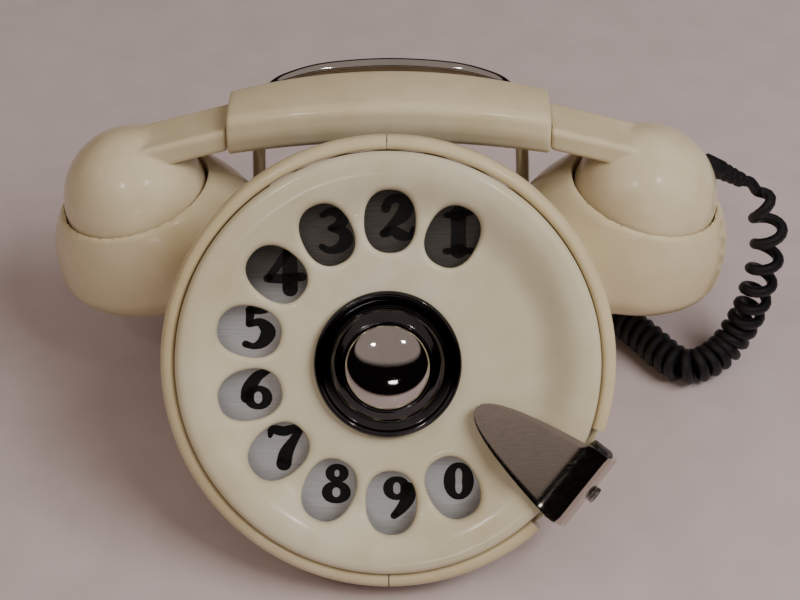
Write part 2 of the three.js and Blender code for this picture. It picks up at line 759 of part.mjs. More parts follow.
// ---------- hook switch under the right cup ----------
const plungerTop = domeCentre[2] - 10.6;
const plunger = post(plungerRadius, domeCentre[0], domeCentre[1], plungerTop - 13.9, plungerTop, 16);
add(phone, "hook_plunger", plunger, blackPlastic);
const [pivotX, hookY, pivotZ] = [domeCentre[0] - 27, domeCentre[1], domeCentre[2] - 27];
const leverHalf = 3;
const pinRadius = 1;
const lever = join(
  box([pivotX - 2, hookY - leverHalf, pivotZ - 1], [domeCentre[0] + 2, hookY + leverHalf, pivotZ + 1.6]),
  bar(pinRadius + gap + 0.6, pivotX, pivotZ, hookY - leverHalf, hookY + leverHalf),
);
add(phone, "hook_lever", cut(lever, bar(pinRadius + gap, pivotX, pivotZ, hookY - 10, hookY + 10, 12)), blackPlastic);
const cheekHalf = leverHalf + 0.6;
const cheekWall = 1.6;
const cheeks = sides.map((side) => {
  const [from, to] = [cheekHalf * side, (cheekHalf + cheekWall) * side].sort((a, b) => a - b);
  return box([pivotX - 4, hookY + from, pivotZ - 2.8], [pivotX + 4, hookY + to, pivotZ + 3]);
});
const frameHalf = cheekHalf + cheekWall;
const switchFrame = join(
  box([pivotX - 8, hookY - frameHalf, pivotZ - 2.8], [pivotX + 4, hookY + frameHalf, pivotZ - 2.1]),
  ...cheeks,
  bar(pinRadius, pivotX, pivotZ, hookY - frameHalf + 0.2, hookY + frameHalf - 0.2, 12),
);
add(phone, "hook_switch_frame", switchFrame, steel);
const contactLeaves = [1.4, 6.2].map((beside) =>
  box([pivotX - 10, hookY + beside, pivotZ], [pivotX - 4.5, hookY + beside + 0.8, pivotZ + 1.4]),
);
const contactBody = box([pivotX - 16, hookY + 0.8, pivotZ - 4], [pivotX - 9, hookY + 9, pivotZ + 3]);
add(phone, "hook_contacts", join(contactBody, ...contactLeaves), blackPlastic);

// ---------- handset ----------
const barDrop = 1.3;
const gripRise = 6.3;
const gripCentre = (x) => 36 - gripRise * (x / gripHalf) ** 2;
const gripDepth = (x) => 23 + 4.4 * (1 - (x / gripHalf) ** 2);
const gripThick = (x) => 14.8 + 0.6 * (1 - (x / gripHalf) ** 2);
const armSection = [20, 8.1, 2]; // depth, height, corner
const armRise = 28.05; // middle of an arm above the domes, at the sleeve
const armFall = 0.28; // for each mm outwards
const barSize = [14, 6, 1.5];
const capTop = -6.5; // where a dome ends and its cap begins

function handsetShell() {
  const armStart = gripHalf + gap;
  const armHeight = (x) => armRise - armFall * (Math.abs(x) - armStart);
  const armEnd = domeCentre[0] - 2;
  const outerStations = [armEnd, (armEnd + armStart) / 2, armStart];
  const innerStations = [armStart - 0.1, 36, 18, 0];
  const rings = [
    ...outerStations.map((x) => barSection(-x, armHeight(x), ...armSection)),
    ...innerStations.map((x) => barSection(-x, gripCentre(x) - barDrop, ...barSize)),
    ...innerStations.slice(0, -1).reverse().map((x) => barSection(x, gripCentre(x) - barDrop, ...barSize)),
    ...[...outerStations].reverse().map((x) => barSection(x, armHeight(x), ...armSection)),
  ];
  let body = loft(rings);
  const above = box([-130, -40, capTop], [130, 40, 60]);
  for (const side of sides) {
    const dome = new THREE.SphereGeometry(domeRadius, 24, 12).rotateX(Math.PI / 2).translate(side * domeCentre[0], 0, 0);
    body = join(body, common(dome, above));
  }
  for (const side of sides) {
    const hollow = new THREE.SphereGeometry(domeRadius - wall, 16, 8).rotateX(Math.PI / 2);
    body = cut(body, hollow.translate(side * domeCentre[0], 0, 0));
  }
  return body;
}
add(handset, "handset_shell", handsetShell(), ivory);

function gripSleeve() {
  const stations = [-gripHalf, -46, -30, -14, 0, 14, 30, 46, gripHalf];
  const outer = stations.map((x) => barSection(x, gripCentre(x), gripDepth(x), gripThick(x), 4));
  const long = [-gripHalf - 1, ...stations.slice(1, -1), gripHalf + 1];
  const [depth, height, corner] = barSize;
  const hole = long.map((x) => barSection(x, gripCentre(x) - barDrop, depth + 2 * gap, height + 2.4, corner));
  return cut(loft(outer), loft(hole));
}
add(handset, "grip_sleeve", gripSleeve(), ivory);

const capBack = -10;
const capCollar = domeRadius - wall - 2.3; // stands up inside the dome

function handsetCap() {
  const onBall = (height) => [Math.sqrt((domeRadius - 0.2) ** 2 - height ** 2), height];
  let cap = turned(
    [
      [0, capBack],
      [domeRadius - 5.8, capBack],
      [domeRadius - 3.4, capBack + 0.7],
      onBall(capBack + 1.8),
      onBall(capTop - gap),
      [capCollar, capTop - gap],
      [capCollar, capTop + 4],
      [capCollar - 1.4, capTop + 4],
      [capCollar - 1.4, capBack + 2.2],
      [0, capBack + 2.2],
    ],
    20,
  );
  for (let i = 0; i < 6; i++) {
    cap = cut(cap, post(1.3, 9 * Math.cos(rad(60 * i)), 9 * Math.sin(rad(60 * i)), -12, -6, 6));
  }
  return cut(cap, post(1.3, 0, 0, -12, -6, 6));
}
for (const side of sides) {
  const cap = handsetCap().translate(side * domeCentre[0], 0, 0);
  add(handset, side < 0 ? "ear_cap" : "mouth_cap", cap, ivory);
  const can = capCollar - 3; // radius
  const capsule = turned([[0, -7.2], [can - 1, -7.2], [can, -6], [can, 0], [can - 6, 1.5], [can - 6, 4], [0, 4]], 20);
  capsule.translate(side * domeCentre[0], 0, 0);
  add(handset, side < 0 ? "receiver_capsule" : "transmitter_capsule", capsule, side < 0 ? steel : blackPlastic);
}

// ---------- curly cord ----------
const bootOut = new THREE.Vector3(22.9, 8.5, 6.4).setLength(domeRadius);
const bootStart = new THREE.Vector3(...domeCentre).add(bootOut).toArray();
const bootDirection = new THREE.Vector3(0.85, 0.02, -0.52).normalize();
const bootLength = 15;
const boot = turned([[0, 0], [3.3, 0], [3.3, bootLength - 4], [2.5, bootLength], [0, bootLength]], 12);
boot.applyQuaternion(new THREE.Quaternion().setFromUnitVectors(new THREE.Vector3(0, 0, 1), bootDirection));
boot.translate(...bootStart);
const domeReach = new THREE.SphereGeometry(domeRadius + gap, 28, 14).translate(...domeCentre);
add(phone, "cord_boot", cut(boot, domeReach), rubber);

const alongBoot = (distance) => new THREE.Vector3(...bootStart).addScaledVector(bootDirection, distance).toArray();
const cordStart = bootLength + 3 * gap;
const cordRoute = [
  alongBoot(cordStart),
  alongBoot(cordStart + 4),
  [135, 77, 57],
  [134.7, 72, 44],
  [132.8, 69, 33],
  [130.8, 67.6, 23],
  [127.6, 66.4, 14.4],
  [122.5, 62.2, 8.6],
  [115, 56.6, 7.2],
  [107.6, 54.6, 7.2],
  [101.6, 59.6, 7.2],
  [95.8, 67.5, 7.2],
  [90, 75, 7.2],
  [84.4, 84, 7.2],
  [79.5, 96, 7.2],
  [73.5, 108, 7.2],
  [63.5, 117, 7.4],
  [51.5, 122.2, 8.6],
  [40.5, 123.2, 11.6],
  [glandX + 0.4, glandFace + 8, glandHeight - 0.1],
  [glandX, glandFace + 3 * gap, glandHeight],
];
add(phone, "handset_cord", sweep(cordRoute, cordRadius, 8, 40), rubber);

add(phone, "cord_gland", bar(glandRadius, glandX, glandHeight, glandFace - 11.5, glandFace, 20), rubber);
const inlet = cut(
  bar(glandRadius, -glandX, glandHeight, glandFace - 13.5, glandFace - 1.9, 20),
  bar(2.4, -glandX, glandHeight, glandFace - 16, glandFace + 5, 16),
);
add(phone, "line_inlet", inlet, rubber);

// ---------- origin under the middle of the base ----------
phone.updateMatrixWorld(true);
const looseNodes = ["handset_cord", "cord_boot", "cord_gland"];
const extent = new THREE.Box3();
phone.traverse((piece) => {
  if (piece.isMesh && !looseNodes.includes(piece.name)) extent.expandByObject(piece, true);
});
phone.position.set(0, -(extent.min.y + extent.max.y) / 2, 0);

export default phone;
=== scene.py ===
import json
import math

import bmesh
import bpy
import numpy as np
from mathutils import Matrix, Vector


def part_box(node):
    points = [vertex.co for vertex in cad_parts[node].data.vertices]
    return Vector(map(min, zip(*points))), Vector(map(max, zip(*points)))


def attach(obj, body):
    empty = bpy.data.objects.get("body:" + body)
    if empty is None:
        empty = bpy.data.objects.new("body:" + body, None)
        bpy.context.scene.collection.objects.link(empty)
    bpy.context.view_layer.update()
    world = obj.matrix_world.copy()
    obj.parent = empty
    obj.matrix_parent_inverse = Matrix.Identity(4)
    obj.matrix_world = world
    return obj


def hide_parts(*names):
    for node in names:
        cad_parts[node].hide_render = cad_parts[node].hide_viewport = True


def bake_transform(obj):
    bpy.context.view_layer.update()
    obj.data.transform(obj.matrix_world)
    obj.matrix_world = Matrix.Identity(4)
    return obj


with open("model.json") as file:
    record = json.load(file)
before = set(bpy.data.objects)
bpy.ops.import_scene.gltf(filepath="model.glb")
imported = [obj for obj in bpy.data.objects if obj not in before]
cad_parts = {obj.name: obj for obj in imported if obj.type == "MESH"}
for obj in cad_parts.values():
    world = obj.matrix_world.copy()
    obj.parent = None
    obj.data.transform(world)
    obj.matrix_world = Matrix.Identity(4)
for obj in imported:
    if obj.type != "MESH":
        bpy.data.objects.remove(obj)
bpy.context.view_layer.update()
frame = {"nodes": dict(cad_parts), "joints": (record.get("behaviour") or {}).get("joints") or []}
print("frame loaded:", len(frame["nodes"]), "nodes")

# Places, from the frame's dial joint and given numbers.
mm = 0.001
joints = {joint["name"]: joint for joint in frame["joints"]}
dialCentre = Vector(joints["dial_spin"]["pos_m"])
dialOut = -Vector(joints["dial_spin"]["axis"]).normalized()  # from the dial to the caller
across = Vector((1, 0, 0))
dialUp = dialOut.cross(across).normalized()
bodyY = dialCentre.y / mm  # lengths below are in mm, with y counted from under the dial


def place(x, y, z):
    return Vector((x, y + bodyY, z)) * mm


def axesMatrix(right, up, out, origin):
    return Matrix(((right.x, up.x, out.x, origin.x), (right.y, up.y, out.y, origin.y),
                   (right.z, up.z, out.z, origin.z), (0, 0, 0, 1)))


dialMatrix = axesMatrix(across, dialUp, dialOut, dialCentre)
benchMatrix = Matrix.Translation(place(0, 0, 0))
handsetTilt = math.radians(-8)
domeCentre = (89, 74, 74)
handsetMatrix = Matrix.Translation(place(0, *domeCentre[1:])) @ Matrix.Rotation(handsetTilt, 4, "X")


# Camera.
view = dict(azimuth=1.5, elevation=46, distance=620, lens=85.6, roll=1.2, dialLeft=0.361, dialLow=1.896)


def makeCamera():
    azimuth, elevation, roll, left, low = (
        math.radians(view[key]) for key in ("azimuth", "elevation", "roll", "dialLeft", "dialLow"))
    outward = math.cos(elevation)
    back = Vector((math.sin(azimuth) * outward, -math.cos(azimuth) * outward, math.sin(elevation)))
    level = Vector((math.cos(azimuth), math.sin(azimuth), 0))
    upright = back.cross(level)
    right = level * math.cos(roll) - upright * math.sin(roll)
    up = upright * math.cos(roll) + level * math.sin(roll)
    aimed = axesMatrix(right, up, back, dialCentre + back * view["distance"] * mm)
    # The camera swings until the dial's centre is this far left of and below the middle of the view.
    seen = Vector((-math.tan(left), -math.tan(low), -1)).normalized()
    swing = seen.rotation_difference(Vector((0, 0, -1))).to_matrix().to_4x4()
    data = bpy.data.cameras.new("camera")
    data.lens, data.sensor_width = view["lens"], 36
    data.clip_start, data.clip_end = 0.01, 20
    camera = bpy.data.objects.new("camera", data)
    camera.matrix_world = aimed @ swing
    bpy.context.scene.collection.objects.link(camera)
    bpy.context.scene.camera = camera


makeCamera()
print("camera placed")


# Mesh making.
def newPiece(name, points, faces, matrix, sharp=35):
    mesh = bpy.data.meshes.new(name)
    mesh.from_pydata([tuple(p) for p in points], [], [tuple(int(i) for i in face) for face in faces])
    mesh.transform(matrix @ Matrix.Scale(mm, 4))
    mesh.validate()
    mesh.polygons.foreach_set("use_smooth", [True] * len(mesh.polygons))
    if sharp:
        mesh.set_sharp_from_angle(angle=math.radians(sharp))
    piece = bpy.data.objects.new(name, mesh)
    bpy.context.scene.collection.objects.link(piece)
    return piece


def applyModifiers(piece, sharp=35):
    bpy.context.view_layer.update()
    shown = piece.evaluated_get(bpy.context.evaluated_depsgraph_get())
    mesh = bpy.data.meshes.new_from_object(shown)
    piece.modifiers.clear()
    piece.data = mesh
    mesh.polygons.foreach_set("use_smooth", [True] * len(mesh.polygons))
    mesh.set_sharp_from_angle(angle=math.radians(sharp))
    return piece


# Corners of an open outline, each inner one turned into a small curve.
def softened(corners, radius, steps=4):
    points = [tuple(corners[0])]
    for before, corner, after in zip(corners, corners[1:], corners[2:]):
        a, b, c = (np.array(p, float) for p in (before, corner, after))
        reachIn = min(radius, np.linalg.norm(a - b) * 0.45)
        reachOut = min(radius, np.linalg.norm(c - b) * 0.45)
        start = b + (a - b) / np.linalg.norm(a - b) * reachIn
        end = b + (c - b) / np.linalg.norm(c - b) * reachOut
        for i in range(steps + 1):
            t = i / steps
            points.append(tuple((1 - t) ** 2 * start + 2 * t * (1 - t) * b + t * t * end))
    points.append(tuple(corners[-1]))
    return points


# Points and faces of an outline of (radius, height) turned about Z.
def turnedMesh(profile, fromAngle=0, toAngle=360, segments=160):
    whole = toAngle - fromAngle >= 360
    count = segments if whole else segments + 1
    angles = np.radians(fromAngle + (toAngle - fromAngle) * np.arange(count) / segments)
    points, faces, rows = [], [], []
    for radius, height in profile:
        if radius < 1e-6:
            rows.append([len(points)] * count)
            points.append((0, 0, height))
        else:
            rows.append(list(range(len(points), len(points) + count)))
            points.extend((radius * math.cos(a), radius * math.sin(a), height) for a in angles)
    for low, high in zip(rows, rows[1:]):
        for i in range(segments):
            j = (i + 1) % count
            corners = [low[i], low[j], high[j], high[i]]
            face = [c for k, c in enumerate(corners) if c not in corners[:k]]
            if len(face) > 2:
                faces.append(face)
    if not whole:
        faces.append([row[0] for row in rows])
        faces.append([row[-1] for row in reversed(rows)])
    return points, faces


def turnedPiece(name, profile, matrix, segments=160, sharp=35):
    points, faces = turnedMesh(profile, segments=segments)
    piece = newPiece(name, points, faces, matrix, sharp)
    fixNormals(piece, sharp)
    return piece


def fixNormals(piece, sharp=35):
    work = bmesh.new()
    work.from_mesh(piece.data)
    bmesh.ops.remove_doubles(work, verts=work.verts, dist=1e-7)
    bmesh.ops.recalc_face_normals(work, faces=work.faces)
    work.to_mesh(piece.data)
    work.free()
    if sharp:
        piece.data.set_sharp_from_angle(angle=math.radians(sharp))


# Points about step apart on a Catmull-Rom curve through route.
def smoothPath(route, step):
    route = [np.array(p, float) for p in route]
    route = [2 * route[0] - route[1], *route, 2 * route[-1] - route[-2]]
    points = []
    for a, b, c, d in zip(route, route[1:], route[2:], route[3:]):
        count = max(2, int(np.linalg.norm(c - b) / step))
        square, cube = 2 * a - 5 * b + 4 * c - d, 3 * b - a - 3 * c + d
        for t in np.arange(count) / count:
            points.append(0.5 * (2 * b + (c - a) * t + square * t**2 + cube * t**3))
    points.append(route[-2])
    return np.array(points)


# Tangent and two side directions at each point, turning as little as possible.
def carriedAxes(path):
    tangents = np.gradient(path, axis=0)
    tangents /= np.linalg.norm(tangents, axis=1)[:, None]
    side = np.cross(tangents[0], (0.0, 0.0, 1.0))
    if np.linalg.norm(side) < 0.1:
        side = np.cross(tangents[0], (0.0, 1.0, 0.0))
    sides = []
    for tangent in tangents:
        side = side - tangent * np.dot(side, tangent)
        side /= np.linalg.norm(side)
        sides.append(side)
    sides = np.array(sides)
    return tangents, sides, np.cross(tangents, sides)


def tubeMesh(path, radii, around=12):
    _, sides, ups = carriedAxes(path)
    points, faces = [], []
    for p, side, up, radius in zip(path, sides, ups, radii):
        for i in range(around):
            a = 2 * math.pi * i / around
            points.append(p + radius * (math.cos(a) * side + math.sin(a) * up))
    for k in range(len(path) - 1):
        for i in range(around):
            j = (i + 1) % around
            faces.append((k * around + i, k * around + j, (k + 1) * around + j, (k + 1) * around + i))
    faces.append(tuple(range(around))[::-1])
    faces.append(tuple(range((len(path) - 1) * around, len(path) * around)))
    return points, faces


# Forms given by a formula: negative inside, about the distance in mm outside.
def blendMin(a, b, width):
    share = np.clip(0.5 + 0.5 * (b - a) / width, 0, 1)
    return b * (1 - share) + a * share - width * share * (1 - share)


def blendMax(a, b, width):
    return -blendMin(-a, -b, width)


def turnedPoints(p, matrix):
    return p @ np.array(matrix.to_3x3())  # the inverse of a rotation is its transpose


def settle(points, form, rounds=5):
    reach = 0.03
    for _ in range(rounds):
        value = form(points)
        slope = np.empty_like(points)
        for k in range(3):
            offset = np.zeros(3)
            offset[k] = reach
            slope[:, k] = (form(points + offset) - form(points - offset)) / (2 * reach)
        steep = np.maximum((slope**2).sum(1), 0.04)
        move = -(value / steep)[:, None] * slope
        longest = np.linalg.norm(move, axis=1)
        points = points + move * np.minimum(1, 0.8 / np.maximum(longest, 1e-9))[:, None]
    return points


batchSize = 400000  # grid points worked out at a time


# Points and quads of the surface form = 0 inside the box from low to high.
def formMesh(form, low, high, step, relax=3):
    ticks = [np.arange(low[k], high[k] + step, step) for k in range(3)]
    shape = tuple(len(t) for t in ticks)
    grid = np.stack(np.meshgrid(*ticks, indexing="ij"), -1).reshape(-1, 3)
    batches = np.array_split(grid, max(1, len(grid) // batchSize))
    values = np.concatenate([form(batch) for batch in batches]).reshape(shape)
    inside = values < 0
    cells = tuple(n - 1 for n in shape)
    corner = {(i, j, k): (slice(i, i + cells[0]), slice(j, j + cells[1]), slice(k, k + cells[2]))
              for i in (0, 1) for j in (0, 1) for k in (0, 1)}
    filled = sum(inside[where].astype(np.int8) for where in corner.values())
    active = (filled > 0) & (filled < 8)
    where = np.argwhere(active)
    number = -np.ones(cells, np.int64)
    number[active] = np.arange(len(where))
    total, hits = np.zeros((len(where), 3)), np.zeros(len(where))
    for first in corner:
        for axis in range(3):
            if first[axis]:
                continue
            second = tuple(1 if k == axis else first[k] for k in range(3))
            one, two = values[corner[first]][active], values[corner[second]][active]
            crossed = (one < 0) != (two < 0)
            share = np.where(crossed, one / np.where(crossed, one - two, 1), 0)
            spot = np.array(first, float) + share[:, None] * (np.array(second) - np.array(first))
            total += spot * crossed[:, None]
            hits += crossed
    points = np.array(low, float) + (where + total / hits[:, None]) * step
    faces = []
    for axis in range(3):
        second, third = (axis + 1) % 3, (axis + 2) % 3
        near = [slice(0, -1) if k == axis else slice(1, -1) for k in range(3)]
        far = [slice(1, None) if k == axis else slice(1, -1) for k in range(3)]
        leaving = inside[tuple(near)] & ~inside[tuple(far)]
        entering = ~inside[tuple(near)] & inside[tuple(far)]
        for crossing, order in ((leaving, 1), (entering, -1)):
            spot = np.argwhere(crossing)
            spot[:, second] += 1
            spot[:, third] += 1
            quad = []
            for a, b in ((1, 1), (0, 1), (0, 0), (1, 0)):
                cell = spot.copy()
                cell[:, second] -= a
                cell[:, third] -= b
                quad.append(number[cell[:, 0], cell[:, 1], cell[:, 2]])
            faces.append(np.stack(quad[::order], 1))
    faces = np.concatenate(faces)
    points = settle(points, form)
    for _ in range(relax):
        ends = np.concatenate([faces[:, [k, (k + 1) % 4]] for k in range(4)])
        total, hits = np.zeros_like(points), np.zeros(len(points))
        np.add.at(total, ends[:, 0], points[ends[:, 1]])
        np.add.at(hits, ends[:, 0], 1)
        np.add.at(total, ends[:, 1], points[ends[:, 0]])
        np.add.at(hits, ends[:, 1], 1)
        points = settle(points + 0.6 * (total / hits[:, None] - points), form, 3)
    return points, faces


# Curly cord, its boot and its gland.
cordFacts = dict(wireRadius=2.0, coilRadius=4.7, tightPitch=4.35, loosePitch=14.5, looseLength=66,
                 plainStart=7, swellStart=6, plainEnd=9, swellEnd=9, stepsPerTurn=16)
bootStart = np.array((111.9, 82.5, 80.4))
bootDirection = np.array((0.85, 0.02, -0.52)) / np.linalg.norm((0.85, 0.02, -0.52))
bootLength = 15
glandPlace, glandFace = (30, 16), 114.5
cordRoute = [
    tuple(bootStart + bootDirection * (bootLength - 0.5)),
    tuple(bootStart + bootDirection * (bootLength + 4.9)),
    (135, 77, 57), (134.7, 72, 44), (132.8, 69, 33), (130.8, 67.6, 23), (127.6, 66.4, 14.4),
    (122.5, 62.2, 8.6), (115, 56.6, 7.2), (107.6, 54.6, 7.2), (101.6, 59.6, 7.2), (95.8, 67.5, 7.2),
    (90, 75, 7.2), (84.4, 84, 7.2), (79.5, 96, 7.2), (73.5, 108, 7.2), (63.5, 117, 7.4),
    (51.5, 122.2, 8.6), (40.5, 123.2, 11.6),
    (glandPlace[0] + 0.4, glandFace + 8, glandPlace[1] - 0.1), (glandPlace[0], glandFace - 1, glandPlace[1]),
]


def makeCord():
    line = smoothPath(cordRoute, 0.5)
    along = np.concatenate([[0], np.cumsum(np.linalg.norm(np.diff(line, axis=0), axis=1))])
    _, sides, ups = carriedAxes(line)
    places, turn, at, longest = [], 0.0, 0.0, along[-1]
    facts = cordFacts
    while at < longest:
        stretch = max(0.0, 1 - max(0.0, at - facts["plainStart"]) / facts["looseLength"])
        pitch = facts["tightPitch"] + (facts["loosePitch"] - facts["tightPitch"]) * stretch**1.1
        fromStart = np.clip((at - facts["plainStart"]) / facts["swellStart"], 0, 1)
        fromEnd = np.clip((longest - at - facts["plainEnd"]) / facts["swellEnd"], 0, 1)
        swell = min(fromStart, fromEnd)
        radius = facts["coilRadius"] * swell * swell * (3 - 2 * swell)
        spot, side, up = (np.array([np.interp(at, along, part[:, k]) for k in range(3)])
                          for part in (line, sides, ups))
        places.append(spot + radius * (math.cos(turn) * side + math.sin(turn) * up))
        turn += 2 * math.pi / facts["stepsPerTurn"]
        at += pitch / facts["stepsPerTurn"]
    path = np.array(places)
    points, faces = tubeMesh(path, [facts["wireRadius"]] * len(path), 12)
    cord = newPiece("curly_cord", points, faces, benchMatrix, 60)
    scaled = [tuple(place(*p)) for p in path]
    length = sum(math.dist(a, b) for a, b in zip(scaled, scaled[1:]))
    print("cord length", round(length, 3), "m, turns", round(turn / 2 / math.pi, 1))
    return cord, scaled, length


def makeBoot():
    along = Vector(tuple(bootDirection))
    matrix = Matrix.Translation(place(*bootStart)) @ along.to_track_quat("Z", "Y").to_matrix().to_4x4()
    profile = [(0, -2), (3.5, -2), (3.5, 5)]
    for k in range(3):
        z, lean = 6 + 2.6 * k, 0.2 * k
        profile += [(3.3 - lean, z), (2.75 - lean, z + 0.3), (2.75 - lean, z + 1.0), (3.2 - lean, z + 1.3)]
    profile += [(2.7, bootLength - 0.6), (2.3, bootLength), (0, bootLength)]
    return turnedPiece("cord_boot_sleeve", softened(profile, 0.35, 2), matrix, 40)


def makeGland(name, x, front, back, bore):
    matrix = Matrix.Translation(place(x, front, glandPlace[1])) @ Matrix.Rotation(math.radians(-90), 4, "X")
    length = back - front
    profile = [(0, 0), (4.9, 0), (4.9, length - 5), (5.0, length - 4.4), (4.2, length - 4),
               (4.2, length - 3), (5.0, length - 2.6), (5.0, length - 0.4), (4.6, length),
               (bore, length), (bore, length - 3), (0, length - 3)]
    return turnedPiece(name, softened(profile, 0.4, 3), matrix, 48)


cord, cordPath, cordLength = makeCord()
boot = makeBoot()
gland = makeGland("cord_gland_sleeve", glandPlace[0], 103, glandFace, 2.1)
inlet = makeGland("line_inlet_sleeve", -glandPlace[0], 101, 112.6, 2.6)
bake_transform(cord)
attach(boot, "handset")
for piece in (gland, inlet):
    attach(piece, "base")
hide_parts("handset_cord")
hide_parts("cord_boot")
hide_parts("cord_gland")
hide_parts("line_inlet")
print("cord laid")


# Table and lights.
room = dict(width=8.0, floorHex="#c2b1ae", backgroundHex="#b3a3a1")


def makeFloor():
    half = room["width"] / 2
    corners = [(-half, -half, 0), (half, -half, 0), (half, half, 0), (-half, half, 0)]
    floor = newPiece("table_top", corners, [(0, 1, 2, 3)], Matrix.Scale(1 / mm, 4), 0)
    return floor


def makeLight(name, spot, size, watts, colour, mirrored):
    data = bpy.data.lights.new(name, "AREA")
    data.shape, data.size, data.size_y = "RECTANGLE", *size
    data.energy, data.color = watts, colour
    light = bpy.data.objects.new(name, data)
    light.location = spot
    light.visible_glossy = mirrored
    light.rotation_euler = (dialCentre - Vector(spot)).to_track_quat("-Z", "Y").to_euler()
    bpy.context.scene.collection.objects.link(light)


floor = makeFloor()
makeLight("window_light", (0.80, -0.40, 1.05), (0.8, 0.6), 15, (0.96, 0.98, 1.0), False)
makeLight("room_light", (-0.85, -0.35, 0.95), (0.7, 0.7), 2.2, (1.0, 0.90, 0.78), False)
makeLight("front_light", (0.1, -1.4, 0.7), (1.0, 0.5), 1.6, (1.0, 0.96, 0.92), False)
makeLight("lamp_left", (-0.45, -0.75, 1.30), (0.12, 0.05), 0.9, (1.0, 0.98, 0.95), True)
makeLight("lamp_right", (0.50, -0.60, 1.35), (0.10, 0.07), 0.9, (1.0, 0.98, 0.95), True)
makeLight("lamp_low", (0.10, -1.20, 0.42), (0.16, 0.04), 0.25, (1.0, 0.98, 0.95), True)


# Finishes.
def linear(hexColour):
    parts = [int(hexColour[k : k + 2], 16) / 255 for k in (1, 3, 5)]
    return (*[c / 12.92 if c <= 0.04045 else ((c + 0.055) / 1.055) ** 2.4 for c in parts], 1)


def addNode(tree, kind, inputs=None, **settings):
    node = tree.nodes.new(kind)
    for key, value in settings.items():
        setattr(node, key, value)
    for key, value in (inputs or {}).items():
        if isinstance(value, bpy.types.NodeSocket):
            tree.links.new(value, node.inputs[key])
        else:
            node.inputs[key].default_value = value
    return node


def newFinish(name):
    finish = bpy.data.materials.new(name)
    finish.use_nodes = True
    tree = finish.node_tree
    tree.nodes.clear()
    shader = addNode(tree, "ShaderNodeBsdfPrincipled")
    addNode(tree, "ShaderNodeOutputMaterial", {"Surface": shader.outputs[0]})
    spot = addNode(tree, "ShaderNodeTexCoord").outputs["Object"]
    return finish, tree, shader, spot


def repeats(lengthMm):
    return 1 / (lengthMm * mm)  # texture scale for a pattern of that length


def mixColours(tree, share, first, second):
    return addNode(tree, "ShaderNodeMix", {"Factor": share, 6: first, 7: second}, data_type="RGBA").outputs[2]


def rangeOf(tree, value, fromLow, fromHigh, toLow=0.0, toHigh=1.0):
    return addNode(tree, "ShaderNodeMapRange", {"Value": value, "From Min": fromLow, "From Max": fromHigh,
                                                "To Min": toLow, "To Max": toHigh}).outputs[0]


def noiseOf(tree, spot, lengthMm, detail, roughness=0.5):
    return addNode(tree, "ShaderNodeTexNoise", {"Vector": spot, "Scale": repeats(lengthMm), "Detail": detail,
                                                "Roughness": roughness}).outputs[0]


# The same spot, turned and drawn out so that a noise on it makes lines.
def drawnOut(tree, spot, turn, scale):
    return addNode(tree, "ShaderNodeMapping", {"Vector": spot, "Rotation": turn, "Scale": scale}).outputs[0]


def bumpOf(tree, height, deepMm, strength, **under):
    return addNode(tree, "ShaderNodeBump", {"Height": height, "Distance": deepMm * mm, "Strength": strength,
                                            **under}).outputs[0]


def connect(tree, shader, colour, rough, normal):
    for socket, output in (("Base Color", colour), ("Roughness", rough), ("Normal", normal)):
        tree.links.new(output, shader.inputs[socket])


# Injection-moulded ABS: glossy with a soft orange peel, yellowed unevenly, fine rub marks and dust specks.
def mouldedAbs(name, freshHex, yellowedHex, roughness):
    finish, tree, shader, spot = newFinish(name)
    ageing = noiseOf(tree, spot, 70, 3.0)
    mottle = noiseOf(tree, spot, 9, 4.0)
    aged = mixColours(tree, rangeOf(tree, ageing, 0.3, 0.7), linear(freshHex), linear(yellowedHex))
    handled = mixColours(tree, rangeOf(tree, mottle, 0.45, 0.85, 0.0, 0.22), aged, linear("#a8925f"))
    # Dust specks near 0.25 mm.
    cells = addNode(tree, "ShaderNodeTexVoronoi", {"Vector": spot, "Scale": repeats(6.5)})
    specks = rangeOf(tree, cells.outputs["Distance"], 0.015, 0.04, 0.35, 0.0)
    dusty = mixColours(tree, specks, handled, linear("#6f6148"))
    scuffs = noiseOf(tree, drawnOut(tree, spot, (0.4, 0.3, 0.9), (1, 5, 3)), 40, 5.0, 0.6)
    rough = rangeOf(tree, scuffs, 0.55, 0.8, roughness, roughness + 0.09)
    low = bumpOf(tree, noiseOf(tree, spot, 26, 1.0), 0.35, 0.35)
    high = bumpOf(tree, noiseOf(tree, spot, 2.4, 2.0), 0.03, 0.5, Normal=low)
    connect(tree, shader, dusty, rough, high)
    shader.inputs["IOR"].default_value = 1.53
    shader.inputs["Coat Weight"].default_value = 0.25
    shader.inputs["Coat Roughness"].default_value = 0.12
    return finish


# Nickel-chrome plate, polished: a mirror with hairline scratches and a faint grey bloom.
def polishedChrome(name, tintHex, roughness, scratch, direction):
    finish, tree, shader, spot = newFinish(name)
    bloom = noiseOf(tree, spot, 11, 3.0)
    tone = mixColours(tree, rangeOf(tree, bloom, 0.35, 0.7, 0.0, 0.16), linear(tintHex), linear("#8f8a85"))
    hairs = noiseOf(tree, drawnOut(tree, spot, direction, (1, 60, 60)), 22, 4.0, 0.7)
    worn = rangeOf(tree, hairs, 0.45, 0.75, roughness, roughness + scratch)
    connect(tree, shader, tone, worn, bumpOf(tree, hairs, 0.02, 0.15 + scratch))
    shader.inputs["Metallic"].default_value = 1.0
    return finish
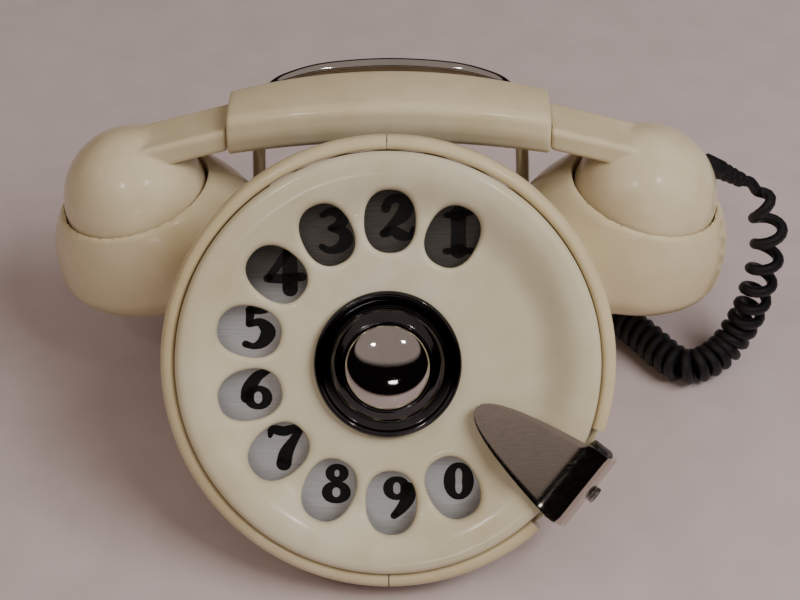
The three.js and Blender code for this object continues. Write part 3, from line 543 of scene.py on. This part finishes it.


# Satin-brushed aluminium: fine lines one way, with the upper half painted darker as a painted reflection of
# the dark room.
def brushedAluminium(name):
    finish, tree, shader, spot = newFinish(name)
    lineTurn = (math.radians(-52), 0, math.radians(35))
    grain = noiseOf(tree, drawnOut(tree, spot, lineTurn, (1, 45, 45)), 14, 5.0, 0.65)
    # Painted reflection: above the dial's centre the plate takes darker colours, standing in for the dark
    # room it mirrors.
    height = addNode(tree, "ShaderNodeSeparateXYZ", {"Vector": spot}).outputs["Z"]
    upper = rangeOf(tree, height, dialCentre.z + 0.010, dialCentre.z + 0.018)
    share = rangeOf(tree, grain, 0.3, 0.7)
    light = mixColours(tree, share, linear("#c4c2c3"), linear("#e4e1e0"))
    paintedReflectionDark = mixColours(tree, share, linear("#4d4844"), linear("#6a645f"))
    rough = rangeOf(tree, grain, 0.3, 0.7, 0.32, 0.5)
    connect(tree, shader, mixColours(tree, upper, light, paintedReflectionDark), rough, bumpOf(tree, grain, 0.03, 0.4))
    shader.inputs["Metallic"].default_value = 0.6
    return finish


# A plain finish for works metal, rubber, phenolic and vinyl: two tones, and a grain of a real size and depth.
def grainedFinish(name, firstHex, secondHex, grainMm, roughness, metallic, depth):
    finish, tree, shader, spot = newFinish(name)
    grain = noiseOf(tree, spot, grainMm, 4.0)
    share = rangeOf(tree, noiseOf(tree, spot, 18, 2.0), 0.35, 0.65)
    tone = mixColours(tree, share, linear(firstHex), linear(secondHex))
    rough = rangeOf(tree, grain, 0.3, 0.7, roughness - 0.07, roughness + 0.09)
    connect(tree, shader, tone, rough, bumpOf(tree, grain, depth, 0.5))
    shader.inputs["Metallic"].default_value = metallic
    return finish


housingAbs = mouldedAbs("moulded_abs_housing", "#d7c6a2", "#c6b288", 0.23)
wheelAbs = mouldedAbs("moulded_abs_wheel", "#d7ccb1", "#c9ba97", 0.18)
handsetAbs = mouldedAbs("moulded_abs_handset", "#dac9a8", "#c9b78e", 0.21)
chromePlate = polishedChrome("polished_chrome_plate", "#cfcac6", 0.04, 0.06, (0.2, 0.1, 0.5))
blackNickel = polishedChrome("black_nickel_plate", "#4a474b", 0.07, 0.06, (0.2, 0.1, 0.5))
stopGrain = (math.radians(-52), 0, math.radians(52))
wornChrome = polishedChrome("worn_chrome_stop", "#c3b9ae", 0.09, 0.12, stopGrain)
plateAluminium = brushedAluminium("satin_aluminium_plate")
numeralInk = grainedFinish("printed_numeral_ink", "#070606", "#0d0b0a", 0.6, 0.5, 0.0, 0.01)
phenolic = grainedFinish("black_phenolic", "#151413", "#1f1d1b", 1.2, 0.38, 0.0, 0.03)
cordVinyl = grainedFinish("black_vinyl_cord", "#0d0c0e", "#151417", 1.6, 0.45, 0.0, 0.04)
footRubber = grainedFinish("moulded_rubber", "#191817", "#232120", 0.9, 0.72, 0.0, 0.08)
zincSteel = grainedFinish("zinc_plated_steel", "#9b9a97", "#b4b0a6", 1.4, 0.36, 1.0, 0.02)
turnedBrass = grainedFinish("turned_brass", "#b08d4c", "#c6a562", 0.9, 0.32, 1.0, 0.02)
enamelWire = grainedFinish("enamelled_copper_wire", "#7a3a1c", "#93502a", 0.35, 0.35, 0.3, 0.1)
paperLaminate = grainedFinish("paper_laminate_board", "#7c5526", "#93682f", 2.2, 0.5, 0.0, 0.02)
tablePaint = grainedFinish("painted_table", room["floorHex"], "#bdaca9", 3.0, 0.62, 0.0, 0.05)
print("finishes made")


def wears(piece, finish):
    piece.data.materials.clear()
    piece.data.materials.append(finish)
    return piece


wears(floor, tablePaint)
wears(cord, cordVinyl)
wears(boot, cordVinyl)
wears(gland, footRubber)
wears(inlet, footRubber)


# Housing: a drum for the dial, a rear body and an ear for each end of the handset. A form's size turns its
# value, which counts in shares of the form, into about mm.
drum = dict(radius=73.5, front=-8.3, depth=49.7, power=2.7, size=58)
rear = dict(centre=(0, 52, 30), half=(70, 60, 38), power=3, size=46)
ear = dict(centre=(80.6, 72.5, 52), half=(39, 32), up=(37, 50), down=18.5, tiltOut=14.5, tiltBack=4, size=30)
cup = dict(radius=25.7, floor=60, rimAbove=3, rimSoft=0.9, plungerHole=3.1)
shell = dict(wall=2.8, tableGap=4, parting=44.5, seam=0.3, step=1.0, quickStep=2.0)


# Points in the dial's own axes, from its centre.
def fromDial(p):
    return turnedPoints(p - np.array((0, 0, dialCentre.z / mm)), dialMatrix)


def drumForm(p):
    q = fromDial(p)
    radius = np.hypot(q[:, 0], q[:, 1])
    deep = np.maximum(drum["front"] - q[:, 2], 0)
    power = drum["power"]
    share = ((radius / drum["radius"]) ** power + (deep / drum["depth"]) ** power) ** (1 / power)
    return blendMax((share - 1) * drum["size"], q[:, 2] - drum["front"], 0.8)


def rearForm(p):
    q = np.abs((p - np.array(rear["centre"])) / np.array(rear["half"]))
    return ((q ** rear["power"]).sum(1) ** (1 / rear["power"]) - 1) * rear["size"]


def rimAxes(side):
    back, out = math.radians(ear["tiltBack"]), math.radians(ear["tiltOut"]) * side
    turn = Matrix.Rotation(out, 3, "Y") @ Matrix.Rotation(-back, 3, "X")
    return np.array(turn)


def earForm(p, side):
    turn = rimAxes(side)
    centre = np.array((ear["centre"][0] * side, *ear["centre"][1:]))
    q = (p - centre) @ turn
    rim = (np.array((domeCentre[0] * side, domeCentre[1], domeCentre[2] + cup["rimAbove"])) - centre) @ turn
    above = np.clip(q[:, 2], 0, rim[2] + 4)
    rise = np.minimum(above / rim[2], 1)
    halfX, halfY = (half * np.sqrt(1 - (above / up) ** 2) for half, up in zip(ear["half"], ear["up"]))
    lower = np.minimum(q[:, 2], 0) / ear["down"]
    x = (q[:, 0] - rim[0] * rise**2) / halfX
    y = (q[:, 1] - rim[1] * rise**2) / halfY
    bowl = (np.sqrt(x**2 + y**2 + lower**2) - 1) * ear["size"]
    return blendMax(bowl, q[:, 2] - rim[2], 2.2)


def cupForm(p, side):
    q = p - np.array((domeCentre[0] * side, *domeCentre[1:]))
    radius = np.where(q[:, 2] < 0, np.sqrt((q**2).sum(1)), np.hypot(q[:, 0], q[:, 1]))
    return blendMax(radius - cup["radius"], cup["floor"] - p[:, 2], 1.5)


def outerForm(p):
    body = blendMin(drumForm(p), rearForm(p), 8)
    for side in (-1, 1):
        body = blendMin(body, earForm(p, side), 9)
    for side in (-1, 1):
        body = blendMax(body, -cupForm(p, side), cup["rimSoft"])
    body = blendMax(body, np.minimum(fromDial(p)[:, 2] - drum["front"], 40), 0.8)
    return blendMax(body, shell["tableGap"] - p[:, 2], 3)


def frontOpening(p):
    q = fromDial(p)
    return np.maximum(np.hypot(q[:, 0], q[:, 1]) - (drum["radius"] - shell["wall"] - 0.2), -14 - q[:, 2])


def plungerHole(p):
    q = p - np.array(domeCentre)
    return np.maximum(np.hypot(q[:, 0], q[:, 1]) - cup["plungerHole"], np.abs(p[:, 2] - cup["floor"]) - 8)


def housingForm(p):
    outer = outerForm(p)
    hollow = blendMin(outer + shell["wall"], frontOpening(p), 1.0)
    return blendMax(blendMax(outer, -hollow, 0.8), -plungerHole(p), 0.8)


def splitPiece(name, points, faces, matrix, height, above):
    piece = newPiece(name, points, faces, matrix, 0)
    work = bmesh.new()
    work.from_mesh(piece.data)
    level = (height + (shell["seam"] / 2 if above else -shell["seam"] / 2)) * mm
    everything = work.verts[:] + work.edges[:] + work.faces[:]
    result = bmesh.ops.bisect_plane(work, geom=everything, plane_co=(0, 0, level), plane_no=(0, 0, 1),
                                    dist=1e-6, clear_inner=above, clear_outer=not above)
    rim = [e for e in result["geom_cut"] if isinstance(e, bmesh.types.BMEdge)]
    bmesh.ops.triangle_fill(work, edges=rim, use_beauty=True)
    bmesh.ops.recalc_face_normals(work, faces=work.faces)
    work.to_mesh(piece.data)
    work.free()
    piece.data.polygons.foreach_set("use_smooth", [True] * len(piece.data.polygons))
    piece.data.set_sharp_from_angle(angle=math.radians(50))
    return piece


def makeHousing():
    low, high = (-121, -48, 2), (121, 114, 90)
    points, faces = formMesh(housingForm, low, high, shell["step"])
    lower = splitPiece("housing_base", points, faces, benchMatrix, shell["parting"], False)
    upper = splitPiece("housing_cover", points, faces, benchMatrix, shell["parting"], True)
    for piece, node in ((lower, "lower_housing"), (upper, "upper_housing")):
        wears(piece, housingAbs)
        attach(piece, "base")
        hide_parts(node)


makeHousing()
print("housing made")

# Trim ring in three lengths.
ring = dict(inner=69.4, outer=74.3, front=4.0, back=-8.0, seam=0.15, stopFrom=-17.6, stopTo=-48)


def makeRing():
    inner, outer, front, back, seam = (ring[key] for key in ("inner", "outer", "front", "back", "seam"))
    profile = [(inner, back), (inner, front - 1.2), (inner + 0.7, front - 0.3), (inner + 1.8, front),
               (outer - 1.5, front - 0.5), (outer - 0.3, front - 2.0), (outer, front - 4.2), (outer, back)]
    closed = softened([*profile, profile[0]], 0.7, 4)
    spans = {"bezel_left": (90 + seam, 270 - seam), "bezel_upper_right": (ring["stopFrom"], 90 - seam),
             "bezel_lower_right": (-90 + seam, ring["stopTo"])}
    for node, (start, end) in spans.items():
        points, faces = turnedMesh(closed, start, end, max(24, int((end - start) * 1.2)))
        piece = newPiece(node.replace("bezel", "trim_ring"), points, faces, dialMatrix)
        fixNormals(piece)
        wears(piece, housingAbs)
        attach(piece, "base")
        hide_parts(node)


makeRing()

# Finger wheel.
wheel = dict(radius=69.0, crest=7.2, web=1.2, back=-1.8, dishFrom=46, dishTo=65.5, bore=3.3, skirt=2.2,
             holes=10, circle=46.3, pitch=26, first=63, holeRadial=20.5, holeTangential=16.5, holePower=2.3,
             lip=2.0, step=0.85, quickStep=1.2)


def wheelForm(p):
    radius = np.hypot(p[:, 0], p[:, 1])
    climb = np.clip((radius - wheel["dishFrom"]) / (wheel["dishTo"] - wheel["dishFrom"]), 0, 1)
    climb = climb**3 * (climb * (6 * climb - 15) + 10)
    top = wheel["web"] + (wheel["crest"] - wheel["web"]) * climb
    under = np.clip((radius - wheel["dishFrom"] - 2) / (wheel["dishTo"] - wheel["dishFrom"]), 0, 1)
    bottom = wheel["back"] + 5.2 * under * under * (3 - 2 * under)
    disc = blendMax(blendMax(p[:, 2] - top, bottom - p[:, 2], 0.8), radius - wheel["radius"], 3.4)
    skirt = blendMax(np.maximum(radius - wheel["radius"], wheel["radius"] - wheel["skirt"] - radius),
                     np.maximum(-2.0 - p[:, 2], p[:, 2] - 5), 0.6)
    body = blendMax(blendMin(disc, skirt, 0.8), wheel["bore"] - radius, 0.4)
    power = wheel["holePower"]
    for k in range(wheel["holes"]):
        angle = math.radians(wheel["first"] + wheel["pitch"] * k)
        along = p[:, 0] * math.cos(angle) + p[:, 1] * math.sin(angle) - wheel["circle"]
        beside = p[:, 1] * math.cos(angle) - p[:, 0] * math.sin(angle)
        outward = np.abs(along * 2 / wheel["holeRadial"]) ** power
        sideways = np.abs(beside * 2 / wheel["holeTangential"]) ** power
        share = (outward + sideways) ** (1 / power)
        body = blendMax(body, (1 - share) * wheel["holeTangential"] / 2, wheel["lip"])
    return body


def makeWheel():
    reach = wheel["radius"] + 1.5
    step = wheel["step"]
    points, faces = formMesh(wheelForm, (-reach, -reach, -3.4), (reach, reach, 9), step)
    piece = newPiece("finger_wheel_moulding", points, faces, dialMatrix, 60)
    wears(piece, wheelAbs)
    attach(piece, "dial")
    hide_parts("finger_wheel")


makeWheel()
print("finger wheel made")

# Chrome flange and dome in the middle of the wheel.
flange = dict(radius=24, back=1.5, front=3.5)
cap = dict(radius=18.8, back=3.8, mirror=13.9, top=14.4)


def makeCentre():
    r, back, front = flange["radius"], flange["back"], flange["front"]
    bore = wheel["bore"]
    outline = [(bore, back), (r - 0.6, back), (r, back + 0.8), (r, front + 0.4), (r - 0.7, front + 1.15),
               (r - 1.6, front + 1.0), (r - 2.6, front + 0.2), (r - 5.6, front), (bore, front), (bore, back)]
    ringPiece = turnedPiece("chrome_flange", softened(outline, 0.45), dialMatrix, 180)
    m, c, low = cap["mirror"], cap["radius"], cap["back"]
    outline = [(0, low), (c, low), (c, low + 2.2), (c - 0.5, low + 3.4), (c - 1.9, low + 4.9),
               (m + 0.9, low + 5.9), (m + 0.1, low + 5.7)]
    bulge = [((m - 0.1) * math.cos(t), low + 5.9 + (cap["top"] - low - 5.9) * math.sin(t))
             for t in np.radians(np.linspace(8, 90, 30))]
    bulge[-1] = (0, cap["top"])
    skirt = turnedPiece("dome_skirt", softened([*outline, (m + 0.1, low + 1)], 0.6), dialMatrix, 180)
    mirror = turnedPiece("chrome_dome", [(0, low + 1), (m - 0.1, low + 1), *bulge], dialMatrix, 180)
    for piece, finish in ((ringPiece, blackNickel), (skirt, blackNickel), (mirror, chromePlate)):
        wears(piece, finish)
        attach(piece, "dial")
    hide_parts("dial_flange")
    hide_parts("dial_dome")


makeCentre()

# Finger stop: one bent strip of chromed sheet.
stop = dict(tip=31, bow=0.46, tipTop=5.8, tipHalf=0.25, rim=66, rimTop=10.4, face=80, legEnd=-8, shoulder=69,
            halfWidth=13.5, thickness=1.8, angle=-38, beside=6.6, bend=1.9, brow=(75.4, 9.0), knee=(79.4, -1))
stopMatrix = (dialMatrix @ Matrix.Rotation(math.radians(stop["angle"]), 4, "Z")
              @ Matrix.Translation(Vector((0, stop["beside"] * mm, 0))))


def stopHalf(s):
    share = min(1, max(0, s - stop["tip"]) / (stop["shoulder"] - stop["tip"]))
    return stop["halfWidth"] * share ** stop["bow"]


def makeStop():
    line = softened([(stop["tip"], stop["tipTop"]), (stop["rim"], stop["rimTop"]), stop["brow"], stop["knee"],
                     (stop["face"], stop["legEnd"])], stop["bend"], 6)
    path = []
    for a, b in zip(line, line[1:]):
        count = max(1, int(math.dist(a, b) / 1.2))
        path += [tuple(a[k] + (b[k] - a[k]) * i / count for k in (0, 1)) for i in range(count)]
    path.append(line[-1])
    # Closer stations round off the tip.
    first = [(stop["tip"] + d, stop["tipTop"] + d * 0.128) for d in (0.0, 0.12, 0.4, 0.85)]
    path = first + path[1:]
    columns = 12
    points, faces = [], []
    for s, w in path:
        half = max(stopHalf(s), stop["tipHalf"])
        points += [(s, half * (2 * i / columns - 1), w) for i in range(columns + 1)]
    row = columns + 1
    for k in range(len(path) - 1):
        for i in range(columns):
            faces.append((k * row + i, (k + 1) * row + i, (k + 1) * row + i + 1, k * row + i + 1))
    piece = newPiece("finger_stop_sheet", points, faces, stopMatrix, 0)
    thicken = piece.modifiers.new("sheet", "SOLIDIFY")
    thicken.thickness, thicken.offset = stop["thickness"] * mm, -1
    edge = piece.modifiers.new("edge", "BEVEL")
    edge.width, edge.segments, edge.limit_method = 0.4 * mm, 3, "ANGLE"
    edge.angle_limit = math.radians(50)
    applyModifiers(piece, 40)
    wears(piece, wornChrome)
    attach(piece, "base")
    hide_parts("finger_stop")


# The black block that carries the stop, a little wider than the sheet and cut back under its brow.
def makeBracket():
    outline = [(70.2, -7.9), (77.6, -7.9), (77.2, -1), (74.0, 5.6), (70.2, 5.6)]
    half = stop["halfWidth"] + 1.0
    points = [(s, half * side, w) for side in (-1, 1) for s, w in outline]
    count = len(outline)
    faces = [tuple(range(count)), tuple(range(count, 2 * count))[::-1]]
    faces += [(i, i + count, (i + 1) % count + count, (i + 1) % count) for i in range(count)]
    piece = newPiece("stop_bracket_block", points, faces, stopMatrix, 0)
    fixNormals(piece, 0)
    edge = piece.modifiers.new("edge", "BEVEL")
    edge.width, edge.segments = 0.6 * mm, 3
    applyModifiers(piece, 40)
    wears(piece, phenolic)
    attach(piece, "base")
    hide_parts("finger_stop_bracket")


makeStop()
makeBracket()
print("chrome parts made")

# Number plate and numerals.
numberPlate = dict(inner=27, outer=63, back=-7.0, front=-6.2, height=13.8, wide=14.2, weight=1.42,
                   shift=(2.1, 0.9), inkLift=0.03)
# Each numeral is a list of brush strokes of (x, y, half width), as shares of its height. A ring is
# (x, y, rx, ry, side, top).
numeralStrokes = {
    1: [[(.5, .06, .13), (.5, .5, .115), (.5, .94, .13)],
        [(.24, .90, .05), (.5, .93, .065), (.76, .96, .05)],
        [(.22, .05, .055), (.5, .06, .065), (.78, .06, .055)]],
    2: [[(.26, .70, .075), (.34, .88, .075), (.54, .95, .08), (.72, .80, .11), (.64, .56, .115),
         (.42, .34, .07), (.22, .13, .05)],
        [(.22, .11, .07), (.42, .17, .085), (.60, .07, .095), (.80, .06, .06), (.86, .24, .03)]],
    3: [[(.24, .86, .05), (.44, .95, .07), (.68, .84, .095), (.62, .64, .09), (.42, .55, .05)],
        [(.42, .55, .05), (.68, .48, .09), (.76, .27, .11), (.60, .08, .085), (.38, .03, .06),
         (.22, .12, .05)]],
    4: [[(.60, .96, .08), (.38, .64, .065), (.16, .33, .06)],
        [(.13, .29, .07), (.5, .29, .085), (.88, .33, .075)],
        [(.62, .96, .10), (.62, .50, .12), (.62, .03, .12)]],
    5: [[(.34, .90, .07), (.60, .91, .08), (.84, .96, .055)], [(.36, .90, .075), (.32, .56, .055)],
        [(.32, .55, .05), (.56, .60, .075), (.74, .38, .12), (.62, .13, .095), (.42, .03, .055),
         (.24, .08, .06)]],
    6: [[(.72, .95, .055), (.48, .80, .09), (.30, .52, .11), (.25, .30, .10)],
        (.50, .30, .245, .235, .11, .07)],
    7: [[(.14, .72, .035), (.20, .88, .075), (.44, .84, .085), (.66, .90, .075), (.88, .94, .055)],
        [(.84, .92, .055), (.66, .62, .075), (.50, .32, .11), (.44, .05, .12)]],
    8: [(.52, .745, .195, .175, .10, .07), (.50, .28, .25, .215, .115, .075)],
    9: [(.48, .69, .235, .235, .11, .07),
        [(.74, .70, .10), (.74, .48, .11), (.60, .22, .09), (.42, .02, .06)]],
    0: [(.50, .50, .255, .40, .13, .07)],
}


def strokeMesh(stroke, points, faces, centre, height):
    def put(x, y):
        points.append((centre[0] + (x - 0.5) * height * stretch, centre[1] + (y - 0.5) * height, level))
        return len(points) - 1

    level = numberPlate["front"] + numberPlate["inkLift"]
    stretch = numberPlate["wide"] / numberPlate["height"] * 1.05
    if isinstance(stroke, tuple):
        x, y, rx, ry, side, top = stroke
        side, top = side * numberPlate["weight"], top * numberPlate["weight"]
        rings, count = [], 40
        for i in range(count):
            a = 2 * math.pi * i / count
            half = top + (side - top) * abs(math.cos(a)) ** 1.5
            rings.append((put(x + (rx - half) * math.cos(a), y + (ry - half * 0.9) * math.sin(a)),
                          put(x + (rx + half * 0.45) * math.cos(a), y + (ry + half * 0.55) * math.sin(a))))
        for i in range(count):
            (a, b), (c, d) = rings[i], rings[(i + 1) % count]
            faces.append((a, b, d, c))
        return
    line = smoothPath(stroke, 0.05)
    line[:, 2] *= numberPlate["weight"]
    slope = np.gradient(line[:, :2], axis=0)
    slope /= np.linalg.norm(slope, axis=1)[:, None]
    pairs = [(put(x - half * ty, y + half * tx), put(x + half * ty, y - half * tx))
             for (x, y, half), (tx, ty) in zip(line, slope)]
    for (a, b), (c, d) in zip(pairs, pairs[1:]):
        faces.append((b, d, c, a))
    for x, y, half in (line[0], line[-1]):
        faces.append([put(x + half * math.cos(a), y + half * math.sin(a))
                      for a in np.radians(np.arange(0, 360, 22.5))])


def makeNumbers():
    p = numberPlate
    outline = [(p["inner"], p["back"]), (p["outer"], p["back"]), (p["outer"], p["front"]),
               (p["inner"], p["front"]), (p["inner"], p["back"])]
    plate = turnedPiece("number_plate_disc", outline, dialMatrix, 120)
    wears(plate, plateAluminium)
    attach(plate, "base")
    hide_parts("number_plate")
    points, faces = [], []
    for k in range(wheel["holes"]):
        angle = math.radians(wheel["first"] + wheel["pitch"] * k)
        centre = [wheel["circle"] * f(angle) + s for f, s in zip((math.cos, math.sin), p["shift"])]
        for stroke in numeralStrokes[(k + 1) % 10]:
            strokeMesh(stroke, points, faces, centre, p["height"])
    ink = newPiece("numerals", points, faces, dialMatrix, 0)
    wears(ink, numeralInk)
    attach(ink, "base")


makeNumbers()
print("numbers made")

# Carrying handle: a chromed rod.
handle = dict(radius=2.5, foot=(47.7, 95), top=111.2)


def makeHandle():
    top, (fx, fy) = handle["top"], handle["foot"]
    half = [(fx, fy, 47.2), (fx, fy, 62), (46.8, 97, 80), (44.5, 99.4, 94), (40.6, 100, top - 9.6),
            (33.5, 100, top - 5.2), (21, 100, top - 1.6)]
    route = [(-x, y, z) for x, y, z in half] + [(0, 100, top)] + half[::-1]
    path = smoothPath(route, 1.2)
    points, faces = tubeMesh(path, [handle["radius"]] * len(path), 28)
    piece = newPiece("chrome_handle", points, faces, benchMatrix, 50)
    wears(piece, chromePlate)
    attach(piece, "base")
    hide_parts("carry_handle")
    for side in (-1, 1):
        collar = turnedPiece("handle_collar_" + ("left" if side < 0 else "right"),
                             softened([(2.7, -6), (4.6, -6), (4.6, 0.4), (3.9, 1.4), (2.7, 1.4)], 0.5),
                             Matrix.Translation(place(side * fx, fy, 57.5)), 40)
        wears(collar, phenolic)
        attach(collar, "base")


makeHandle()

# Handset.
handsetStep, quickHandsetStep = 0.9, 1.4
grip = dict(half=54.7, rise=6.3, centre=36, depth=23, depthGain=4.4, thick=14.8, thickGain=0.6, corner=4.2,
            crown=0.5, barDrop=1.3, bar=(14, 6), barCorner=1.5)
arm = dict(depth=20, height=8.1, start=(55, 28.05), fall=0.28, end=86.5, endRound=0.02, corner=2.0)
dome = dict(radius=25.3, wall=3, cut=-6.5, crease=0.7)


def gripCentre(x):
    return grip["centre"] - grip["rise"] * (x / grip["half"]) ** 2


def boxForm(y, z, depth, height, corner):
    dy, dz = np.abs(y) - depth / 2 + corner, np.abs(z) - height / 2 + corner
    return np.hypot(np.maximum(dy, 0), np.maximum(dz, 0)) + np.minimum(np.maximum(dy, dz), 0) - corner


def handsetForm(p):
    x = np.abs(p[:, 0])
    armHeight = arm["start"][1] - arm["fall"] * (x - arm["start"][0])
    steep = math.cos(math.atan(arm["fall"]))
    bar = boxForm(p[:, 1], (p[:, 2] - armHeight) * steep, arm["depth"], arm["height"], arm["corner"])
    ends = np.maximum(arm["start"][0] - x, x - arm["end"] + arm["endRound"] * p[:, 1] ** 2)
    armBody = blendMax(bar, ends, 0.8)
    core = boxForm(p[:, 1], p[:, 2] - gripCentre(p[:, 0]) + grip["barDrop"], *grip["bar"], grip["barCorner"])
    inner = np.maximum(core, x - arm["start"][0] - 1)
    q = p - np.array((domeCentre[0], 0, 0)) * np.sign(p[:, :1])
    ball = np.sqrt((q**2).sum(1))
    body = blendMin(blendMin(armBody, inner, 0.5), ball - dome["radius"], dome["crease"])
    hollow = np.minimum(ball - dome["radius"] + dome["wall"], 30)
    return blendMax(blendMax(body, -hollow, 0.5), dome["cut"] - p[:, 2], 0.9)


def makeHandsetShell():
    step = handsetStep
    points, faces = formMesh(handsetForm, (-116, -27, -8), (116, 27, 40), step)
    piece = newPiece("handset_body", points, faces, handsetMatrix, 60)
    wears(piece, handsetAbs)
    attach(piece, "handset")
    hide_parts("handset_shell")


def sleeveRing(x, depth, height, corner, drop=0.0, crown=0.0, turns=6):
    ringPoints = []
    for side in range(4):
        cy = (1 if side in (0, 3) else -1) * (depth / 2 - corner)
        cz = (1 if side < 2 else -1) * (height / 2 - corner)
        for i in range(turns + 1):
            a = math.pi / 2 * (side + i / turns)
            ringPoints.append([cy + corner * math.cos(a), cz + corner * math.sin(a)])
        following = (side + 1) % 4
        ny = (1 if following in (0, 3) else -1) * (depth / 2 - corner)
        nz = (1 if following < 2 else -1) * (height / 2 - corner)
        last = ringPoints[-1]
        a = math.pi / 2 * (side + 1)
        goal = [ny + corner * math.cos(a), nz + corner * math.sin(a)]
        for i in range(1, 6):
            t = i / 6
            swell = crown * 4 * t * (1 - t)
            ringPoints.append([last[0] + (goal[0] - last[0]) * t + swell * math.cos(a),
                               last[1] + (goal[1] - last[1]) * t + swell * math.sin(a)])
    return [(x, y, gripCentre(x) - drop + z) for y, z in ringPoints]


def makeSleeve():
    half = grip["half"]
    rings = []
    # How far in, and how much smaller, the sleeve is near each end.
    ends = [(0.0, 1.1), (0.25, 0.45), (0.6, 0.12), (1.1, 0.0)]
    between = [half * math.sin(a) for a in np.radians(np.linspace(-90, 90, 41))]
    stations = [-half + d for d, _ in ends]
    stations += [x for x in between if abs(x) < half - 1.6]
    stations += [half - d for d, _ in ends[::-1]]
    for x in stations:
        fromEnd = half - abs(x)
        shrink = next((s for d, s in ends if abs(fromEnd - d) < 1e-6), 0.0)
        spread = 1 - (x / half) ** 2
        depth = grip["depth"] + grip["depthGain"] * spread - 2 * shrink
        thick = grip["thick"] + grip["thickGain"] * spread - 2 * shrink
        rings.append(sleeveRing(x, depth, thick, grip["corner"] - shrink * 0.5, 0, grip["crown"]))
    barDepth, barHeight = grip["bar"]
    for x in stations[::-1]:
        rings.append(sleeveRing(x, barDepth + 0.6, barHeight + 2.4, grip["barCorner"], grip["barDrop"]))
    count = len(rings[0])
    points = [p for r in rings for p in r]
    faces = []
    for k in range(len(rings)):
        after = (k + 1) % len(rings)
        for i in range(count):
            j = (i + 1) % count
            faces.append((k * count + i, k * count + j, after * count + j, after * count + i))
    piece = newPiece("grip_sleeve_moulding", points, faces, handsetMatrix, 0)
    fixNormals(piece, 40)
    wears(piece, handsetAbs)
    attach(piece, "handset")
    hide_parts("grip_sleeve")


capFacts = dict(collar=20.6, bore=19.4, holes=6, holeCircle=9, holeRadius=1.5, step=0.7, quickStep=1.2)


def capForm(p):
    radius = np.hypot(p[:, 0], p[:, 1])
    ball = np.sqrt((p**2).sum(1)) - dome["radius"] + 0.1
    skirt = blendMax(blendMax(ball, -10.2 - p[:, 2], 1.5), p[:, 2] - dome["cut"] + 0.3, 0.5)
    collar = np.maximum(radius - capFacts["collar"], p[:, 2] + 2.5)
    inner = np.maximum(radius - capFacts["bore"], -8.6 - p[:, 2])
    body = blendMax(blendMin(skirt, np.maximum(collar, -9 - p[:, 2]), 0.3), -inner, 0.6)
    for k in range(capFacts["holes"]):
        angle = 2 * math.pi * k / capFacts["holes"]
        x, y = capFacts["holeCircle"] * math.cos(angle), capFacts["holeCircle"] * math.sin(angle)
        body = blendMax(body, capFacts["holeRadius"] - np.hypot(p[:, 0] - x, p[:, 1] - y), 0.6)
    return blendMax(body, capFacts["holeRadius"] - radius, 0.6)


def makeCaps():
    step = capFacts["step"]
    points, faces = formMesh(capForm, (-26, -26, -12), (26, 26, -0.5), step)
    for name, node, side in (("ear_cap_moulding", "ear_cap", -1), ("mouth_cap_moulding", "mouth_cap", 1)):
        capMatrix = handsetMatrix @ Matrix.Translation(Vector((side * domeCentre[0] * mm, 0, 0)))
        piece = newPiece(name, points, faces, capMatrix, 60)
        wears(piece, handsetAbs)
        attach(piece, "handset")
        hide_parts(node)


makeHandsetShell()
makeSleeve()
makeCaps()
print("handset made")

# Feet.
for where in ("front_left", "front_right", "rear_left", "rear_right"):
    low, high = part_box("foot_" + where)
    middle = (low + high) / 2
    outline = [(0, 0), (6.0, 0), (7, 0.9), (7, 3.7), (0, 3.7)]
    footMatrix = Matrix.Translation(Vector((middle.x, middle.y, 0)))
    foot = turnedPiece("rubber_foot_" + where, softened(outline, 0.6), footMatrix, 48)
    wears(foot, footRubber)
    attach(foot, "base")
    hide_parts("foot_" + where)

# Works that stay as the frame has them.
workFinishes = {
    zincSteel: ["screw_front_left", "screw_front_right", "screw_rear_left", "screw_rear_right",
                "finger_stop_screw", "dial_shaft", "pulse_cam", "return_spring", "dial_bridge",
                "governor_bracket", "governor_cup", "governor_shaft", "ringer_frame", "clapper",
                "line_transformer", "hook_switch_frame", "receiver_capsule"],
    turnedBrass: ["dial_bush", "main_gear", "transfer_gear", "governor_weight_left", "governor_weight_right",
                  "contact_springs", "left_gong", "right_gong"],
    phenolic: ["dial_plate", "contact_block", "terminal_block", "hook_plunger", "hook_lever", "hook_contacts",
               "transmitter_capsule"],
    enamelWire: ["left_coil", "right_coil", "line_capacitor"],
    paperLaminate: ["circuit_board"],
}
for finish, names in workFinishes.items():
    for name in names:
        node = frame["nodes"][name]
        wears(node, finish)
        edge = node.modifiers.new("broken_edge", "BEVEL")
        edge.width, edge.segments, edge.limit_method = 0.25 * mm, 2, "ANGLE"
        edge.angle_limit = math.radians(40)
print("works finished")


# The room's soft light.
def makeWorld():
    world = bpy.data.worlds.new("room")
    bpy.context.scene.world = world
    world.use_nodes = True
    tree = world.node_tree
    tree.nodes.clear()
    direction = addNode(tree, "ShaderNodeTexCoord").outputs["Generated"]
    height = addNode(tree, "ShaderNodeSeparateXYZ", {"Vector": direction}).outputs["Z"]
    # Dark up to about 35 degrees above the table and pale over that, for what the chrome mirrors.
    share = rangeOf(tree, height, 0.53, 0.60)
    mirrored = mixColours(tree, share, linear("#14100f"), linear("#c9bab2"))
    # The camera itself sees a plain pale backdrop.
    seenDirectly = addNode(tree, "ShaderNodeLightPath").outputs["Is Camera Ray"]
    colour = mixColours(tree, seenDirectly, mirrored, linear(room["backgroundHex"]))
    glow = addNode(tree, "ShaderNodeBackground", {"Color": colour, "Strength": 0.6})
    addNode(tree, "ShaderNodeOutputWorld", {"Surface": glow.outputs[0]})


makeWorld()
bpy.context.view_layer.update()
